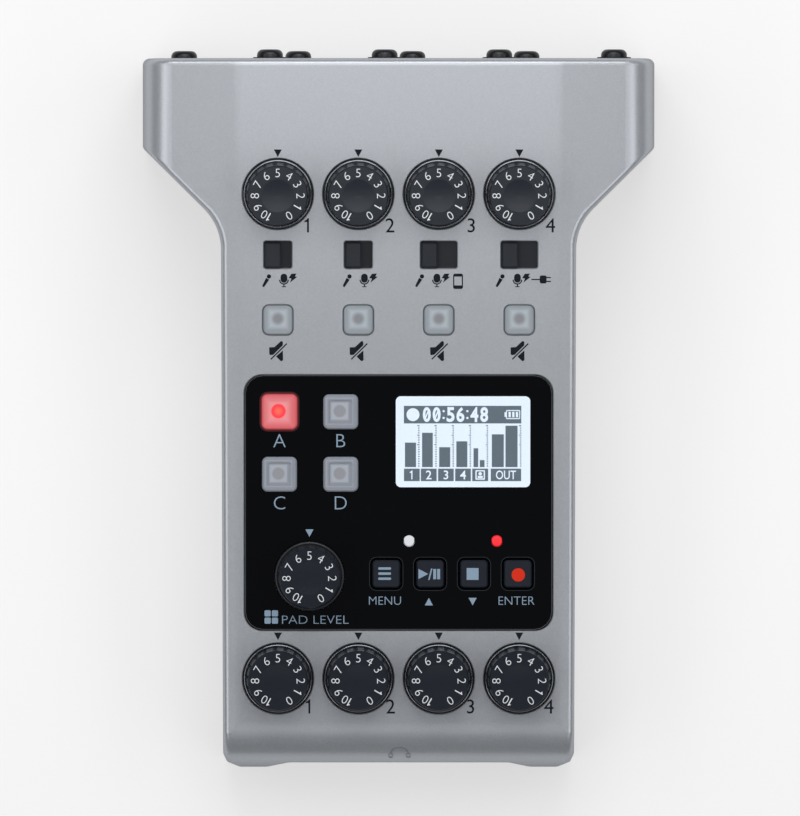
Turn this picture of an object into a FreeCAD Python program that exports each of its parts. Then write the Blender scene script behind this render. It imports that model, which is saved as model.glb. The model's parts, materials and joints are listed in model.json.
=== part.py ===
"""Podcast recorder: a small mixer and recorder in a T-shaped, two-shell plastic case.

Millimetres. +X is the right side, +Y the rear with the four microphone sockets, +Z is up.
The origin lies on the table, under the middle of the whole recorder.

The top panel is one plane that falls towards the front. Everything that belongs to it is
drawn on a level plane, with the panel's skin at z = 0, and then carried up by on_panel().
"""
import FreeCAD, Part
import math
import os

from FreeCAD import Vector

# Overall case
WING_WIDTH = 112.0
WAIST_WIDTH_REAR = 77.7
WAIST_WIDTH_FRONT = 76.9
CASE_LENGTH = 155.2
WING_DEPTH = 19.6
SHOULDER_LENGTH = 17.0
SHOULDER_RADIUS = 12.5
CASE_BOTTOM = 1.0
WALL = 2.0
EDGE_ROUND = 1.5
BOTTOM_ROUND = 2.5
WING_ROUND = 7.5

# Front edge in plan: a shallow recess between two corner lobes
FRONT_RECESS = 1.0
RECESS_HALF_WIDTH = 24.2
RAMP_WIDTH = 4.6
RAMP_RADIUS = 6.0
CORNER_WIDTH = 3.65
CORNER_LENGTH = 3.0
CORNER_TURN_X = 0.85
CORNER_TURN_Y = 1.2
CORNER_RADIUS = 2.0
CORNER_TURN_RADIUS = 1.0

# Top panel
PANEL_TILT = 4.5
PANEL_HEIGHT = 36.8
FACET_HALF_WIDTH = 35.1
FACET_ANGLE = 8.0
CREASE_ROUND = 12.0
ROLL_SETBACK = 9.8
ROLL_RADIUS = 11.0
UPPER_DEPTH = 12.5
RIM_BEVEL = 0.2

# Seam between the two shells
SEAM_GROOVE = 0.4
LIP_THICKNESS = 1.0
LIP_HEIGHT = 1.5
FIT = 0.1
OVERCUT = 1.0

# Columns and rows of controls
COLUMN_PITCH = 17.6
INPUT_ROW_FROM_REAR = 29.55
SWITCH_ROW_STEP = 13.35
MUTE_ROW_STEP = 14.3
DISPLAY_STEP = 40.1
HEADPHONE_ROW_FROM_FRONT = 19.3

# Ribbed knobs on rotary potentiometers
KNOB_RADIUS = 7.6
KNOB_GAP = 0.2
KNOB_HEIGHT = 6.0
KNOB_SINK = 1.5
SKIRT_STAND = 0.35
GRIP_SETBACK = 0.55
GRIP_TAPER = 0.5
CAP_HEIGHT = 0.55
CAP_OVERHANG = 0.05
CAP_BEVEL = 0.2
RIB_COUNT = 18
RIB_SHARE = 0.55
RIB_DEPTH = 0.4
DISH_RADIUS = 3.6
DISH_DEPTH = 0.15
SHAFT_RADIUS = 3.0
SHAFT_FIT = 0.02
RUNNING_CLEARANCE = 0.05
SHAFT_TOP = 4.2
SHAFT_FOOT = 0.6
POT_WIDTH = 9.5
POT_HEIGHT = 4.6

# Slide switches
SLOT_DEPTH = 6.04
SLOT_CORNER = 0.5
SLIDER_WIDTH = 3.85
SLIDER_STAND = 0.5
SLIDER_CHAMFER = 0.45
SHORT_TRAVEL = 2.2
LONG_TRAVEL = 4.1
SLIDER_PLATE = 0.6
SLIDER_PLATE_GAP = 0.3
SLIDER_PLATE_MARGIN = 0.8
SLIDER_STEM = 1.6
STEM_ENGAGEMENT = 1.0
SLIDE_BODY_HEIGHT = 3.2
SLIDE_BODY_DEPTH = 3.8
SLIDE_BODY_MARGIN = 1.6

# Push buttons
BUTTON_TRAVEL = 0.4
BUTTON_FLANGE = 0.7
FLANGE_THICKNESS = 0.6
FLANGE_CLEARANCE = 0.05
PLUNGER_CLEARANCE = 0.05
BUTTON_GAP = 0.15
BUTTON_CHAMFER = 0.3
MUTE_WIDTH = 6.4
MUTE_CORNER = 1.3
MUTE_STAND = 0.35
PAD_WIDTH = 7.6
PAD_CORNER = 1.2
PAD_STAND = 0.9
PAD_RIM = 1.2
PAD_SINK = 0.2
PAD_PITCH_X = 13.4
PAD_PITCH_Y = 13.7
KEY_WIDTH = 6.0
KEY_CORNER = 0.85
KEY_STAND = 0.3
KEY_PITCH = 9.6
KEY_BEVEL = 0.45
TACT_WIDTH = 6.0
PLUNGER_RADIUS = 1.7
PLUNGER_STAND = 0.8

# Glossy display panel, set into a pocket of the upper shell
DISPLAY_WIDTH = 67.4
DISPLAY_DEPTH = 56.0
DISPLAY_CORNER = 4.0
DISPLAY_THICKNESS = 1.2
DISPLAY_FLOOR = 1.2
WINDOW_WIDTH = 29.4
WINDOW_DEPTH = 20.0
WINDOW_CORNER = 1.1
LCD_BORDER = 1.8
LCD_CORNER = 0.5
GLASS_SEAT = 0.2
GLASS_MARGIN = 0.3
LIGHT_RADIUS = 1.2
LAMP_HEIGHT = 0.6

# Places on the display panel, from its middle
WINDOW_PLACE = (14.1, 13.4)
PADS_PLACE = (-19.35, 13.15)
SOUND_KNOB_PLACE = (-19.5, -16.1)
LIGHT_PLACES = ((2.3, -8.4), (21.5, -8.4))
KEYS_PLACE = (11.7, -15.6)

# Circuit boards
BOARD_THICKNESS = 1.6
CONTROL_BOARD_DEPTH = 7.5
CONTROL_BOARD_HALF_WIDTH = 34.6
CONTROL_BOARD_MARGINS = (2.4, 0.1)
BOARD_CORNER = 2.0
BOARD_LIFT = 0.2
MAIN_BOARD_HALF_WIDTH = 35.0
MAIN_BOARD_ENDS = (-50.0, 45.0)
HEADPHONE_BOARD_HEIGHT = 6.5
HEADPHONE_BOARD_DEPTH = 21.5
HEADPHONE_BOARD_MARGIN = 1.0
POST_RADIUS = 2.0
LOWER_POST_RADIUS = 2.2
CHIPS = (
    (-22.0, -6.0, 14.0, 14.0, 1.2),
    (10.0, -30.0, 10.0, 10.0, 1.0),
    (12.0, 18.0, 12.0, 8.0, 1.2),
)

# Rear plate and microphone sockets
PLATE_RECESS = 0.6
PLATE_FLANGE = 1.2
PLATE_HALF_WIDTH = 52.5
PLATE_BOTTOM = 4.5
PLATE_TOP = 38.4
PLATE_CORNER = 5.0
SOCKET_PITCH = 25.1
SOCKET_HEIGHT = 22.0
SLEEVE_RADIUS = 9.7
SLEEVE_DEPTH = 14.0
SLEEVE_GROOVE = 2.1
BARREL_WALL = 0.9
FACE_RIM = 0.4
SOCKET_LENGTH = 20.2
SOCKET_FACE_STAND = 0.2
INSERT_FLANGE = 2.0
CORE_RECESS = 0.8
KEYWAY_WIDTH = 2.6
KEYWAY_DEPTH = 1.0
CONTACT_CIRCLE_RADIUS = 4.1
CONTACT_RADIUS = 1.6
CONTACT_BORE_RADIUS = 1.25
CONTACT_LENGTH = 12.0
CONTACT_SINK = 0.8
CONTACT_BORE_DEPTH = 9.0
CONTACT_TAIL = 1.0
FLANGE_WIDTH = 24.6
FLANGE_HEIGHT = 30.0
FLANGE_DEPTH = 2.0
FLANGE_CORNER = 2.0
SOCKET_BOARD_BOTTOM = 9.0
SOCKET_BOARD_TOP = 34.0
SOCKET_BOARD_SETBACK = 1.0
SOCKET_SCREW_X = 9.5
SOCKET_SCREW_Z = 12.0
SCREW_PAD_RADIUS = 3.7
SCREW_PAD_STAND = 0.9
SCREW_HEAD_RADIUS = 2.85
SCREW_CROWN_RADIUS = 2.2
SCREW_HEAD_HEIGHT = 1.7
SCREW_SHANK_RADIUS = 1.45
SCREW_SHANK_LENGTH = 8.0
SCREW_CLEARANCE = 0.05

# Small phone sockets for 3.5 mm plugs
PLUG_BORE_RADIUS = 1.8
PLUG_BORE_LENGTH = 12.0
NOSE_RADIUS = 3.0
PHONE_BODY_WIDTH = 6.0
PHONE_BODY_LENGTH = 11.0
PHONE_BODY_HEIGHT = 6.0
FRONT_BAY_HALF_WIDTH = 31.0
FRONT_BAY_BOTTOM = 5.5
FRONT_BAY_TOP = 16.7
FRONT_BAY_DEPTH = 1.5
FRONT_BAY_CORNER = 1.5
FRONT_PAD_RISE = 0.8
FRONT_PAD_FOOT = 0.5

# Left side: phone socket, two data sockets and the power switch, by their places along Y
SIDE_INSET = 0.45
PHONE_JACK_Y = 31.0
USB_AUDIO_Y = 19.0
USB_POWER_Y = 8.0
POWER_SWITCH_Y = -5.0
USB_WIDTH = 8.94
USB_HEIGHT = 3.26
USB_SHELL = 0.3
USB_DEPTH = 7.3
USB_TONGUE_WIDTH = 6.7
USB_TONGUE_HEIGHT = 0.7
USB_TONGUE_DEPTH = 5.6
USB_TONGUE_CORNER = 0.2
USB_BACK = 1.0
USB_TONGUE_ROOT = 0.5
POWER_CAP_LENGTH = 3.2
POWER_CAP_HEIGHT = 2.4
POWER_CAP_SETBACK = 0.05
POWER_RIB_PITCH = 0.8
POWER_RIB_GROOVE = 0.3
POWER_NECK_WIDTH = 1.6
POWER_NECK_HEIGHT = 1.4
POWER_NECK_REACH = 1.0
POWER_TRAVEL = 2.5
POWER_DISH_DEPTH = 0.9
POWER_DISH_CORNER = 1.0
POWER_DISH_ROOM = (0.5, 0.3)
POWER_BODY_DEPTH = 3.6
POWER_BODY_HEIGHT = 4.0
POWER_BODY_MARGIN = 2.6

# Right side: memory card in its slot, behind a hinged cover
CARD_Y = 13.0
CARD_WIDTH = 24.0
CARD_LENGTH = 32.0
CARD_THICKNESS = 2.1
CARD_CORNER_CUT = 4.0
CARD_FIT = 0.15
CARD_SETBACK = 0.6
CARD_MOUTH_ROOM = 0.4
CARD_SLOT_WIDTH = 28.0
CARD_SLOT_LENGTH = 28.0
CARD_SLOT_HEIGHT = 3.1
COVER_HALF_LENGTH = 14.8
COVER_HEIGHT = 7.8
COVER_THICKNESS = 1.3
COVER_BELOW_CARD = 4.05
COVER_GAP = 0.15
COVER_PIN_RADIUS = 0.45
COVER_PIN_LENGTH = 1.0
COVER_STAND = 0.2
COVER_BACKING = 1.7
BACKING_MARGIN = 3.0
BACKING_FOOT = 2.0
BACKING_RISE = 4.0
NICK_RADIUS = 1.6
NICK_LENGTH = 8.0
NICK_OFFSET = 0.9

# Battery bay for two AA cells, with its hinged door in the underside
CELL_RADIUS = 7.25
CELL_BODY_LENGTH = 49.2
CELL_NUB_RADIUS = 2.75
CELL_NUB_LENGTH = 1.3
CELL_GAP = 0.5
CELL_SIDE_ROOM = 0.95
CELL_HEADROOM = 0.3
CELL_LIFT = 0.2
BAY_REAR = -2.8
BAY_WALL = 1.5
BAY_ROOF = 1.2
DOOR_THICKNESS = 1.6
DOOR_GAP = 0.2
DOOR_TAB_PLACE = 15.0
DOOR_TAB_WIDTH = 8.0
DOOR_TAB_LENGTH = 1.8
DOOR_OPEN_ROOM = 3.6
LATCH_WIDTH = 8.0
LATCH_THICKNESS = 0.9
LATCH_HEIGHT = 4.0
LATCH_SETBACK = 0.3
LATCH_ROOM = 0.5
THUMB_GRIP_RADIUS = 5.0
THUMB_GRIP_DEPTH = 0.7
THUMB_GRIP_PLACE = 6.5
CONTACT_PLATE = 0.5
CONTACT_WIDTH = 8.0
LEAF_THICKNESS = 0.4
LEAF_REACH = 3.4
LEAF_HALF_HEIGHT = 6.0
LEAF_TIP = 1.0
LEAF_SLANT = 0.8

# Case screws and feet
BOSS_RADIUS = 3.2
TOWER_RADIUS = 3.8
WELL_RADIUS = 2.9
WELL_COVER = 5.0
CASE_SCREW_RADIUS = 1.3
CASE_SCREW_HEAD_RADIUS = 2.6
CASE_SCREW_HEAD_HEIGHT = 1.8
CASE_SCREW_REACH = 7.0
BOARD_CLEARANCE = 0.5
CASE_SCREW_ROOM = 0.25
FOOT_RADIUS = 5.0
FOOT_RECESS = 0.2
FOOT_CHAMFER = 0.4

# Derived sizes
KNOB_HOLE_RADIUS = KNOB_RADIUS + KNOB_GAP
GRIP_RADIUS = KNOB_RADIUS - GRIP_SETBACK
GRIP_TOP_RADIUS = GRIP_RADIUS - GRIP_TAPER
CAP_RADIUS = GRIP_TOP_RADIUS + CAP_OVERHANG
BARREL_RADIUS = SLEEVE_RADIUS + BARREL_WALL
SOCKET_FACE_RADIUS = BARREL_RADIUS + FACE_RIM
CORE_RADIUS = SLEEVE_RADIUS - SLEEVE_GROOVE
CELL_SPACING = 2 * CELL_RADIUS + CELL_GAP
CELL_HEIGHT = CASE_BOTTOM + DOOR_THICKNESS + CELL_LIFT + CELL_RADIUS
BAY_HALF_LENGTH = (CONTACT_PLATE + CELL_NUB_LENGTH + CELL_BODY_LENGTH + LEAF_REACH) / 2
BAY_HALF_DEPTH = CELL_SPACING / 2 + CELL_RADIUS + CELL_SIDE_ROOM
BAY_TOP = CELL_HEIGHT + CELL_RADIUS + CELL_HEADROOM
BAY_Y = BAY_REAR - BAY_WALL - BAY_HALF_DEPTH
MAIN_BOARD_HEIGHT = BAY_TOP + BAY_ROOF + BOARD_LIFT
COVER_BOTTOM = MAIN_BOARD_HEIGHT - CARD_SLOT_HEIGHT / 2 - COVER_BELOW_CARD

# Derived places
SCREW_STAND = SCREW_PAD_STAND - PLATE_RECESS + SCREW_HEAD_HEIGHT
OVERALL_LENGTH = CASE_LENGTH + SCREW_STAND
FRONT_Y = -OVERALL_LENGTH / 2
REAR_Y = FRONT_Y + CASE_LENGTH
ROLL_START = FRONT_Y + ROLL_SETBACK
INPUT_ROW = REAR_Y - INPUT_ROW_FROM_REAR
SWITCH_ROW = INPUT_ROW - SWITCH_ROW_STEP
MUTE_ROW = SWITCH_ROW - MUTE_ROW_STEP
DISPLAY_Y = MUTE_ROW - DISPLAY_STEP
HEADPHONE_ROW = FRONT_Y + HEADPHONE_ROW_FROM_FRONT
COLUMNS = [COLUMN_PITCH * step for step in (-1.5, -0.5, 0.5, 1.5)]
SOCKET_COLUMNS = [SOCKET_PITCH * step for step in (-1.5, -0.5, 0.5, 1.5)]
TRAVELS = [SHORT_TRAVEL, SHORT_TRAVEL, LONG_TRAVEL, LONG_TRAVEL]
BOARD_TOP = -CONTROL_BOARD_DEPTH
POST_ROWS = (INPUT_ROW - 20.5, HEADPHONE_ROW + 7.9)
POST_COLUMNS = (-33.0, -COLUMN_PITCH, COLUMN_PITCH, 33.0)
BOSS_PLACES = (
    (-35.0, REAR_Y - 31.6),
    (35.0, REAR_Y - 31.6),
    (-33.3, FRONT_Y + 8.1),
    (33.3, FRONT_Y + 8.1),
    (0.0, MUTE_ROW - 6.9),
)
MAIN_POSTS = ((-31.0, 37.0), (31.0, 37.0), (-31.0, -47.0), (31.0, -47.0))
HEADPHONE_POSTS = ((-15.0, FRONT_Y + 20.5), (15.0, FRONT_Y + 20.5))
FOOT_PLACES = (
    (-46.0, REAR_Y - 10.6),
    (46.0, REAR_Y - 10.6),
    (-29.0, FRONT_Y + 18.0),
    (29.0, FRONT_Y + 18.0),
)
REACH = 200.0
TOUCH = 1e-4


def box(low, high):
    """Box between two corners."""
    size = [b - a for a, b in zip(low, high)]
    return Part.makeBox(*size, Vector(*low))


def disc(radius, x, y, low, high):
    """Upright cylinder between two heights."""
    return Part.makeCylinder(radius, high - low, Vector(x, y, low))


def rod(radius, start, length, direction):
    """Cylinder from a point along a direction."""
    return Part.makeCylinder(radius, length, Vector(*start), Vector(*direction))


def prism(points, height):
    """Straight-sided solid on a closed outline of (x, y, z) points."""
    corners = [Vector(*point) for point in points]
    return Part.Face(Part.makePolygon(corners + corners[:1])).extrude(Vector(*height))


def mirror_points(points):
    """Points of a half outline, and the same points on the other side of X = 0."""
    return points + [(-x, y, radius) for x, y, radius in reversed(points)]


def rounded_outline(corners, z=0.0):
    """Closed wire through (x, y, radius) corners, each rounded with a tangent arc."""
    count = len(corners)
    turns = []
    for index, (x, y, radius) in enumerate(corners):
        here = Vector(x, y, z)
        back = (Vector(*corners[index - 1][:2], z) - here).normalize()
        ahead = (Vector(*corners[(index + 1) % count][:2], z) - here).normalize()
        if radius == 0:
            turns.append((here, None, here))
            continue
        half_angle = back.getAngle(ahead) / 2
        inward = (back + ahead).normalize()
        tangent = radius / math.tan(half_angle)
        middle = here + inward * (radius / math.sin(half_angle) - radius)
        turns.append((here + back * tangent, middle, here + ahead * tangent))
    edges = []
    for index, (start, middle, end) in enumerate(turns):
        if middle is not None:
            edges.append(Part.Arc(start, middle, end).toShape())
        following = turns[(index + 1) % count][0]
        if (following - end).Length > TOUCH:
            edges.append(Part.LineSegment(end, following).toShape())
    return Part.Wire(edges)


def rounded_box(width, depth, radius, x, y, low, high):
    """Upright block with rounded corners, centred on (x, y)."""
    corners = [
        (x - width / 2, y - depth / 2, radius),
        (x + width / 2, y - depth / 2, radius),
        (x + width / 2, y + depth / 2, radius),
        (x - width / 2, y + depth / 2, radius),
    ]
    return Part.Face(rounded_outline(corners, low)).extrude(Vector(0, 0, high - low))


def span(low, size):
    """Low and high corner of a block from its low corner and its size."""
    return low, tuple(start + length for start, length in zip(low, size))


def both_ways(middle, half):
    """Low and high end of a length round its middle."""
    return middle - half, middle + half


def facing_rear(shape, x, y, z):
    """Turn a shape drawn with its face up so that the face looks to +Y, and place it."""
    turned = shape.copy()
    turned.rotate(Vector(0, 0, 0), Vector(1, 0, 0), -90)
    turned.rotate(Vector(0, 0, 0), Vector(0, 1, 0), 180)
    turned.translate(Vector(x, y, z))
    return turned


def on_panel(shape):
    """Carry a shape from the level drawing plane up to the sloping top panel."""
    carried = shape.copy()
    carried.rotate(Vector(0, 0, 0), Vector(1, 0, 0), PANEL_TILT)
    carried.translate(Vector(0, 0, PANEL_HEIGHT))
    return carried


def seam_height(y):
    """Height above the table of the seam between the shells, at a distance y."""
    slope = math.radians(PANEL_TILT)
    return PANEL_HEIGHT + y * math.tan(slope) - UPPER_DEPTH / math.cos(slope)


def case_outline():
    """Plan of the case: wide wings at the rear, a slim waist and lobed front corners."""
    wing = WING_WIDTH / 2
    waist = WAIST_WIDTH_REAR / 2
    front = WAIST_WIDTH_FRONT / 2
    half = [
        (RECESS_HALF_WIDTH, FRONT_Y + FRONT_RECESS, RAMP_RADIUS),
        (RECESS_HALF_WIDTH + RAMP_WIDTH, FRONT_Y, RAMP_RADIUS),
        (front - CORNER_WIDTH, FRONT_Y, CORNER_RADIUS),
        (front - CORNER_TURN_X, FRONT_Y + CORNER_TURN_Y, CORNER_TURN_RADIUS),
        (front, FRONT_Y + CORNER_LENGTH, CORNER_RADIUS),
        (waist, REAR_Y - WING_DEPTH - SHOULDER_LENGTH, SHOULDER_RADIUS),
        (wing, REAR_Y - WING_DEPTH, 0),
        (wing, REAR_Y, 0),
    ]
    return rounded_outline(mirror_points(half))


def crown_section(inset):
    """Space under the flat of the panel and its two side facets, with softened creases."""
    fall = math.tan(math.radians(FACET_ANGLE)) * (REACH - FACET_HALF_WIDTH)
    half = [
        (FACET_HALF_WIDTH, -inset, CREASE_ROUND - inset),
        (REACH, -fall - inset, 0),
        (REACH, -REACH - inset, 0),
    ]
    section = Part.Face(rounded_outline(mirror_points(half)))
    section.rotate(Vector(0, 0, 0), Vector(1, 0, 0), 90)
    section.translate(Vector(0, REACH, 0))
    return on_panel(section.extrude(Vector(0, -2 * REACH, 0)))


def front_roll(inset):
    """Space behind the roll that carries the panel down to the front edge."""
    radius = ROLL_RADIUS - inset
    start = Vector(-REACH, ROLL_START, -inset)
    bend = math.radians(45)
    middle = start + Vector(0, -radius * math.sin(bend), -radius * (1 - math.cos(bend)))
    end = start + Vector(0, -radius, -radius)
    path = [
        end,
        end + Vector(0, 0, -REACH),
        Vector(-REACH, REACH, -REACH),
        Vector(-REACH, REACH, -inset),
        start,
    ]
    edges = [Part.Arc(start, middle, end).toShape()]
    for first, last in zip(path, path[1:]):
        edges.append(Part.LineSegment(first, last).toShape())
    return on_panel(Part.Face(Part.Wire(edges)).extrude(Vector(2 * REACH, 0, 0)))


def is_upright(edge):
    """True for an edge that runs straight up."""
    first = edge.Vertexes[0].Point
    last = edge.Vertexes[-1].Point
    return math.hypot(first.x - last.x, first.y - last.y) < TOUCH


def middle_of(edge):
    """Point halfway along an edge."""
    return edge.valueAt((edge.FirstParameter + edge.LastParameter) / 2)


def wing_top_edges(block, half_width):
    """Long top edges of the two wing sides."""
    chosen = []
    for edge in block.Edges:
        middle = middle_of(edge)
        high = middle.z > PANEL_HEIGHT - WING_ROUND
        if high and not is_upright(edge) and abs(abs(middle.x) - half_width) < TOUCH:
            chosen.append(edge)
    return chosen


def roll_foot_height():
    """Height at which the front roll ends and the front wall begins."""
    slope = math.radians(PANEL_TILT)
    along = ROLL_START - ROLL_RADIUS
    return PANEL_HEIGHT + along * math.sin(slope) - ROLL_RADIUS * math.cos(slope)


def rim_edges(block, wall):
    """Edges where the top of the case meets its wall."""
    half_width = WING_WIDTH / 2
    chosen = []
    for edge in block.Edges:
        middle = middle_of(edge)
        on_wing_side = abs(abs(middle.x) - half_width) < TOUCH
        if is_upright(edge) or on_wing_side or middle.z < roll_foot_height():
            continue
        if wall.distToShape(Part.Vertex(middle))[0] < TOUCH:
            chosen.append(edge)
    return chosen


def corner_edges(block):
    """The four upright edges of the wings."""
    half_width = WING_WIDTH / 2
    return [e for e in block.Edges if is_upright(e) and abs(abs(middle_of(e).x) - half_width) < TOUCH]


def case_block(inset):
    """The whole case as one closed block, its walls drawn in by inset."""
    outline = case_outline()
    if inset:
        outline = outline.makeOffset2D(-inset)
    floor = CASE_BOTTOM + inset
    outline.translate(Vector(0, 0, floor))
    plan = Part.Face(outline).extrude(Vector(0, 0, REACH))
    if not inset:
        bottom = [edge for edge in plan.Edges if middle_of(edge).z < floor + TOUCH]
        plan = plan.makeFillet(BOTTOM_ROUND, bottom)
    block = plan.common(crown_section(inset)).common(front_roll(inset))
    half_width = WING_WIDTH / 2 - inset
    block = block.makeFillet(WING_ROUND - inset, wing_top_edges(block, half_width))
    if inset:
        return block
    wall = outline.extrude(Vector(0, 0, REACH))
    return block.makeFillet(EDGE_ROUND, rim_edges(block, wall) + corner_edges(block))


def above_seam(shape, lift=0.0):
    """The part of a shape above the seam plane, or above a plane lift higher."""
    keep = box((-REACH, -REACH, -UPPER_DEPTH + lift), (REACH, REACH, REACH))
    return shape.common(on_panel(keep))


def below_seam(shape, lift=0.0):
    """The part of a shape below the seam plane, or below a plane lift higher."""
    keep = box((-REACH, -REACH, -REACH), (REACH, REACH, -UPPER_DEPTH + lift))
    return shape.common(on_panel(keep))


def rear_opening(grow, y_low, y_high):
    """Rounded window in the rear wall, grown by grow on each side."""
    width = 2 * (PLATE_HALF_WIDTH + grow)
    height = PLATE_TOP - PLATE_BOTTOM + 2 * grow
    middle = (PLATE_TOP + PLATE_BOTTOM) / 2
    block = rounded_box(width, height, PLATE_CORNER + grow, 0, 0, y_low, y_high)
    block.rotate(Vector(0, 0, 0), Vector(1, 0, 0), -90)
    block.translate(Vector(0, 0, middle))
    return block


def knob_places():
    """Names of the nine knobs and their places on the panel."""
    places = []
    for number, x in enumerate(COLUMNS, start=1):
        places.append((f"input_knob_{number}", x, INPUT_ROW))
        places.append((f"headphone_knob_{number}", x, HEADPHONE_ROW))
    places.append(("sound_pad_knob", SOUND_KNOB_PLACE[0], DISPLAY_Y + SOUND_KNOB_PLACE[1]))
    return places


def pad_places():
    """Names of the four sound pads and their places on the panel."""
    places = []
    for index, letter in enumerate("abcd"):
        x = PADS_PLACE[0] + PAD_PITCH_X * (index % 2 - 0.5)
        y = DISPLAY_Y + PADS_PLACE[1] - PAD_PITCH_Y * (index // 2 - 0.5)
        places.append((f"sound_pad_{letter}", x, y))
    return places


def key_places():
    """Names of the four transport keys and their places on the panel."""
    names = ("menu_key", "play_pause_key", "stop_key", "record_key")
    places = []
    for index, name in enumerate(names):
        x = KEYS_PLACE[0] + KEY_PITCH * (index - 1.5)
        places.append((name, x, DISPLAY_Y + KEYS_PLACE[1]))
    return places


def mute_places():
    """Names of the four mute buttons and their places on the panel."""
    return [(f"mute_button_{number}", x, MUTE_ROW) for number, x in enumerate(COLUMNS, start=1)]


def slot_width(travel):
    """Width of a slide switch's slot for its travel."""
    return SLIDER_WIDTH + travel + FIT


def button_hole(width, corner, x, y, low, high):
    """Hole for a button, with an even gap round it."""
    wide = width + 2 * BUTTON_GAP
    return rounded_box(wide, wide, corner + BUTTON_GAP, x, y, low, high)


def display_holes(low, high):
    """Everything that passes through the display panel and the shell floor under it."""
    x, y = SOUND_KNOB_PLACE
    holes = [disc(KNOB_HOLE_RADIUS, x, DISPLAY_Y + y, low, high)]
    for _, x, y in pad_places():
        holes.append(button_hole(PAD_WIDTH, PAD_CORNER, x, y, low, high))
    for _, x, y in key_places():
        holes.append(button_hole(KEY_WIDTH, KEY_CORNER, x, y, low, high))
    for x, y in LIGHT_PLACES:
        holes.append(disc(LIGHT_RADIUS + FIT / 2, x, DISPLAY_Y + y, low, high))
    return holes


def rim_cuts():
    """Fine sloping rims of the knob holes, switch slots, mute holes and display pocket."""
    cuts = []
    rise = 2 * RIM_BEVEL
    for name, x, y in knob_places():
        if name != "sound_pad_knob":
            foot = Vector(x, y, -RIM_BEVEL)
            cuts.append(Part.makeCone(KNOB_HOLE_RADIUS, KNOB_HOLE_RADIUS + rise, rise, foot))
    for x, travel in zip(COLUMNS, TRAVELS):
        cuts.append(sloping_rim(slot_width(travel), SLOT_DEPTH, SLOT_CORNER, x, SWITCH_ROW, RIM_BEVEL))
    wide = MUTE_WIDTH + 2 * BUTTON_GAP
    for _, x, y in mute_places():
        cuts.append(sloping_rim(wide, wide, MUTE_CORNER + BUTTON_GAP, x, y, RIM_BEVEL))
    width, depth = DISPLAY_WIDTH + 2 * FIT, DISPLAY_DEPTH + 2 * FIT
    cuts.append(sloping_rim(width, depth, DISPLAY_CORNER, 0, DISPLAY_Y, RIM_BEVEL))
    return cuts


def around_window(grow, corner, low, high):
    """Block over the display window, grown by grow on each side."""
    x, y = WINDOW_PLACE
    width = WINDOW_WIDTH + 2 * grow
    depth = WINDOW_DEPTH + 2 * grow
    return rounded_box(width, depth, corner, x, DISPLAY_Y + y, low, high)


def around_display(grow, corner, low, high):
    """Block over the display panel, grown by grow on each side."""
    width = DISPLAY_WIDTH + 2 * grow
    depth = DISPLAY_DEPTH + 2 * grow
    return rounded_box(width, depth, corner, 0, DISPLAY_Y, low, high)


def panel_cuts():
    """Every hole, slot and pocket in the upper shell, on the drawing plane."""
    low = -WALL - OVERCUT
    cuts = []
    for name, x, y in knob_places():
        if name != "sound_pad_knob":
            cuts.append(disc(KNOB_HOLE_RADIUS, x, y, low, OVERCUT))
    for x, travel in zip(COLUMNS, TRAVELS):
        width = slot_width(travel)
        cuts.append(rounded_box(width, SLOT_DEPTH, SLOT_CORNER, x, SWITCH_ROW, low, OVERCUT))
    for name, x, y in mute_places():
        cuts.append(button_hole(MUTE_WIDTH, MUTE_CORNER, x, y, low, OVERCUT))
    cuts.append(around_display(FIT, DISPLAY_CORNER, -DISPLAY_THICKNESS, OVERCUT))
    cuts.extend(display_holes(low, OVERCUT))
    cuts.append(around_window(LCD_BORDER + FIT, LCD_CORNER + FIT, low, OVERCUT))
    return cuts


def build_upper_case(outer, inner):
    """Silver upper shell with its pocket, control openings, board posts and screw bosses."""
    shell = above_seam(outer.cut(inner))
    floor = -DISPLAY_THICKNESS - DISPLAY_FLOOR
    floor_pad = around_display(WALL / 2, DISPLAY_CORNER, floor, -WALL / 2)
    inside = [on_panel(floor_pad).common(outer)]
    for y in POST_ROWS:
        for x in POST_COLUMNS:
            inside.append(on_panel(disc(POST_RADIUS, x, y, BOARD_TOP, -WALL / 2)))
    for x, y in BOSS_PLACES:
        boss = disc(BOSS_RADIUS, x, y, CASE_BOTTOM, PANEL_HEIGHT + WING_ROUND)
        inside.append(above_seam(boss.common(outer)))
    shell = shell.fuse(inside)
    cuts = [on_panel(cut) for cut in panel_cuts() + rim_cuts()]
    for x, y in BOSS_PLACES:
        top = seam_height(y) + CASE_SCREW_REACH + OVERCUT
        cuts.append(disc(CASE_SCREW_RADIUS + SCREW_CLEARANCE, x, y, CASE_BOTTOM, top))
    cuts.append(rear_opening(0.0, REAR_Y - WALL - OVERCUT, REAR_Y + OVERCUT))
    return shell.cut(cuts)


def build_display_panel():
    """Black glossy panel with its window and bevelled key openings."""
    panel = around_display(0.0, DISPLAY_CORNER - FIT, -DISPLAY_THICKNESS, 0)
    low = -DISPLAY_THICKNESS - OVERCUT
    holes = display_holes(low, OVERCUT)
    holes.append(around_window(0.0, WINDOW_CORNER, low, OVERCUT))
    wide = KEY_WIDTH + 2 * BUTTON_GAP
    for _, x, y in key_places():
        holes.append(sloping_rim(wide, wide, KEY_CORNER + BUTTON_GAP, x, y, KEY_BEVEL))
    return on_panel(panel.cut(holes))


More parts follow.
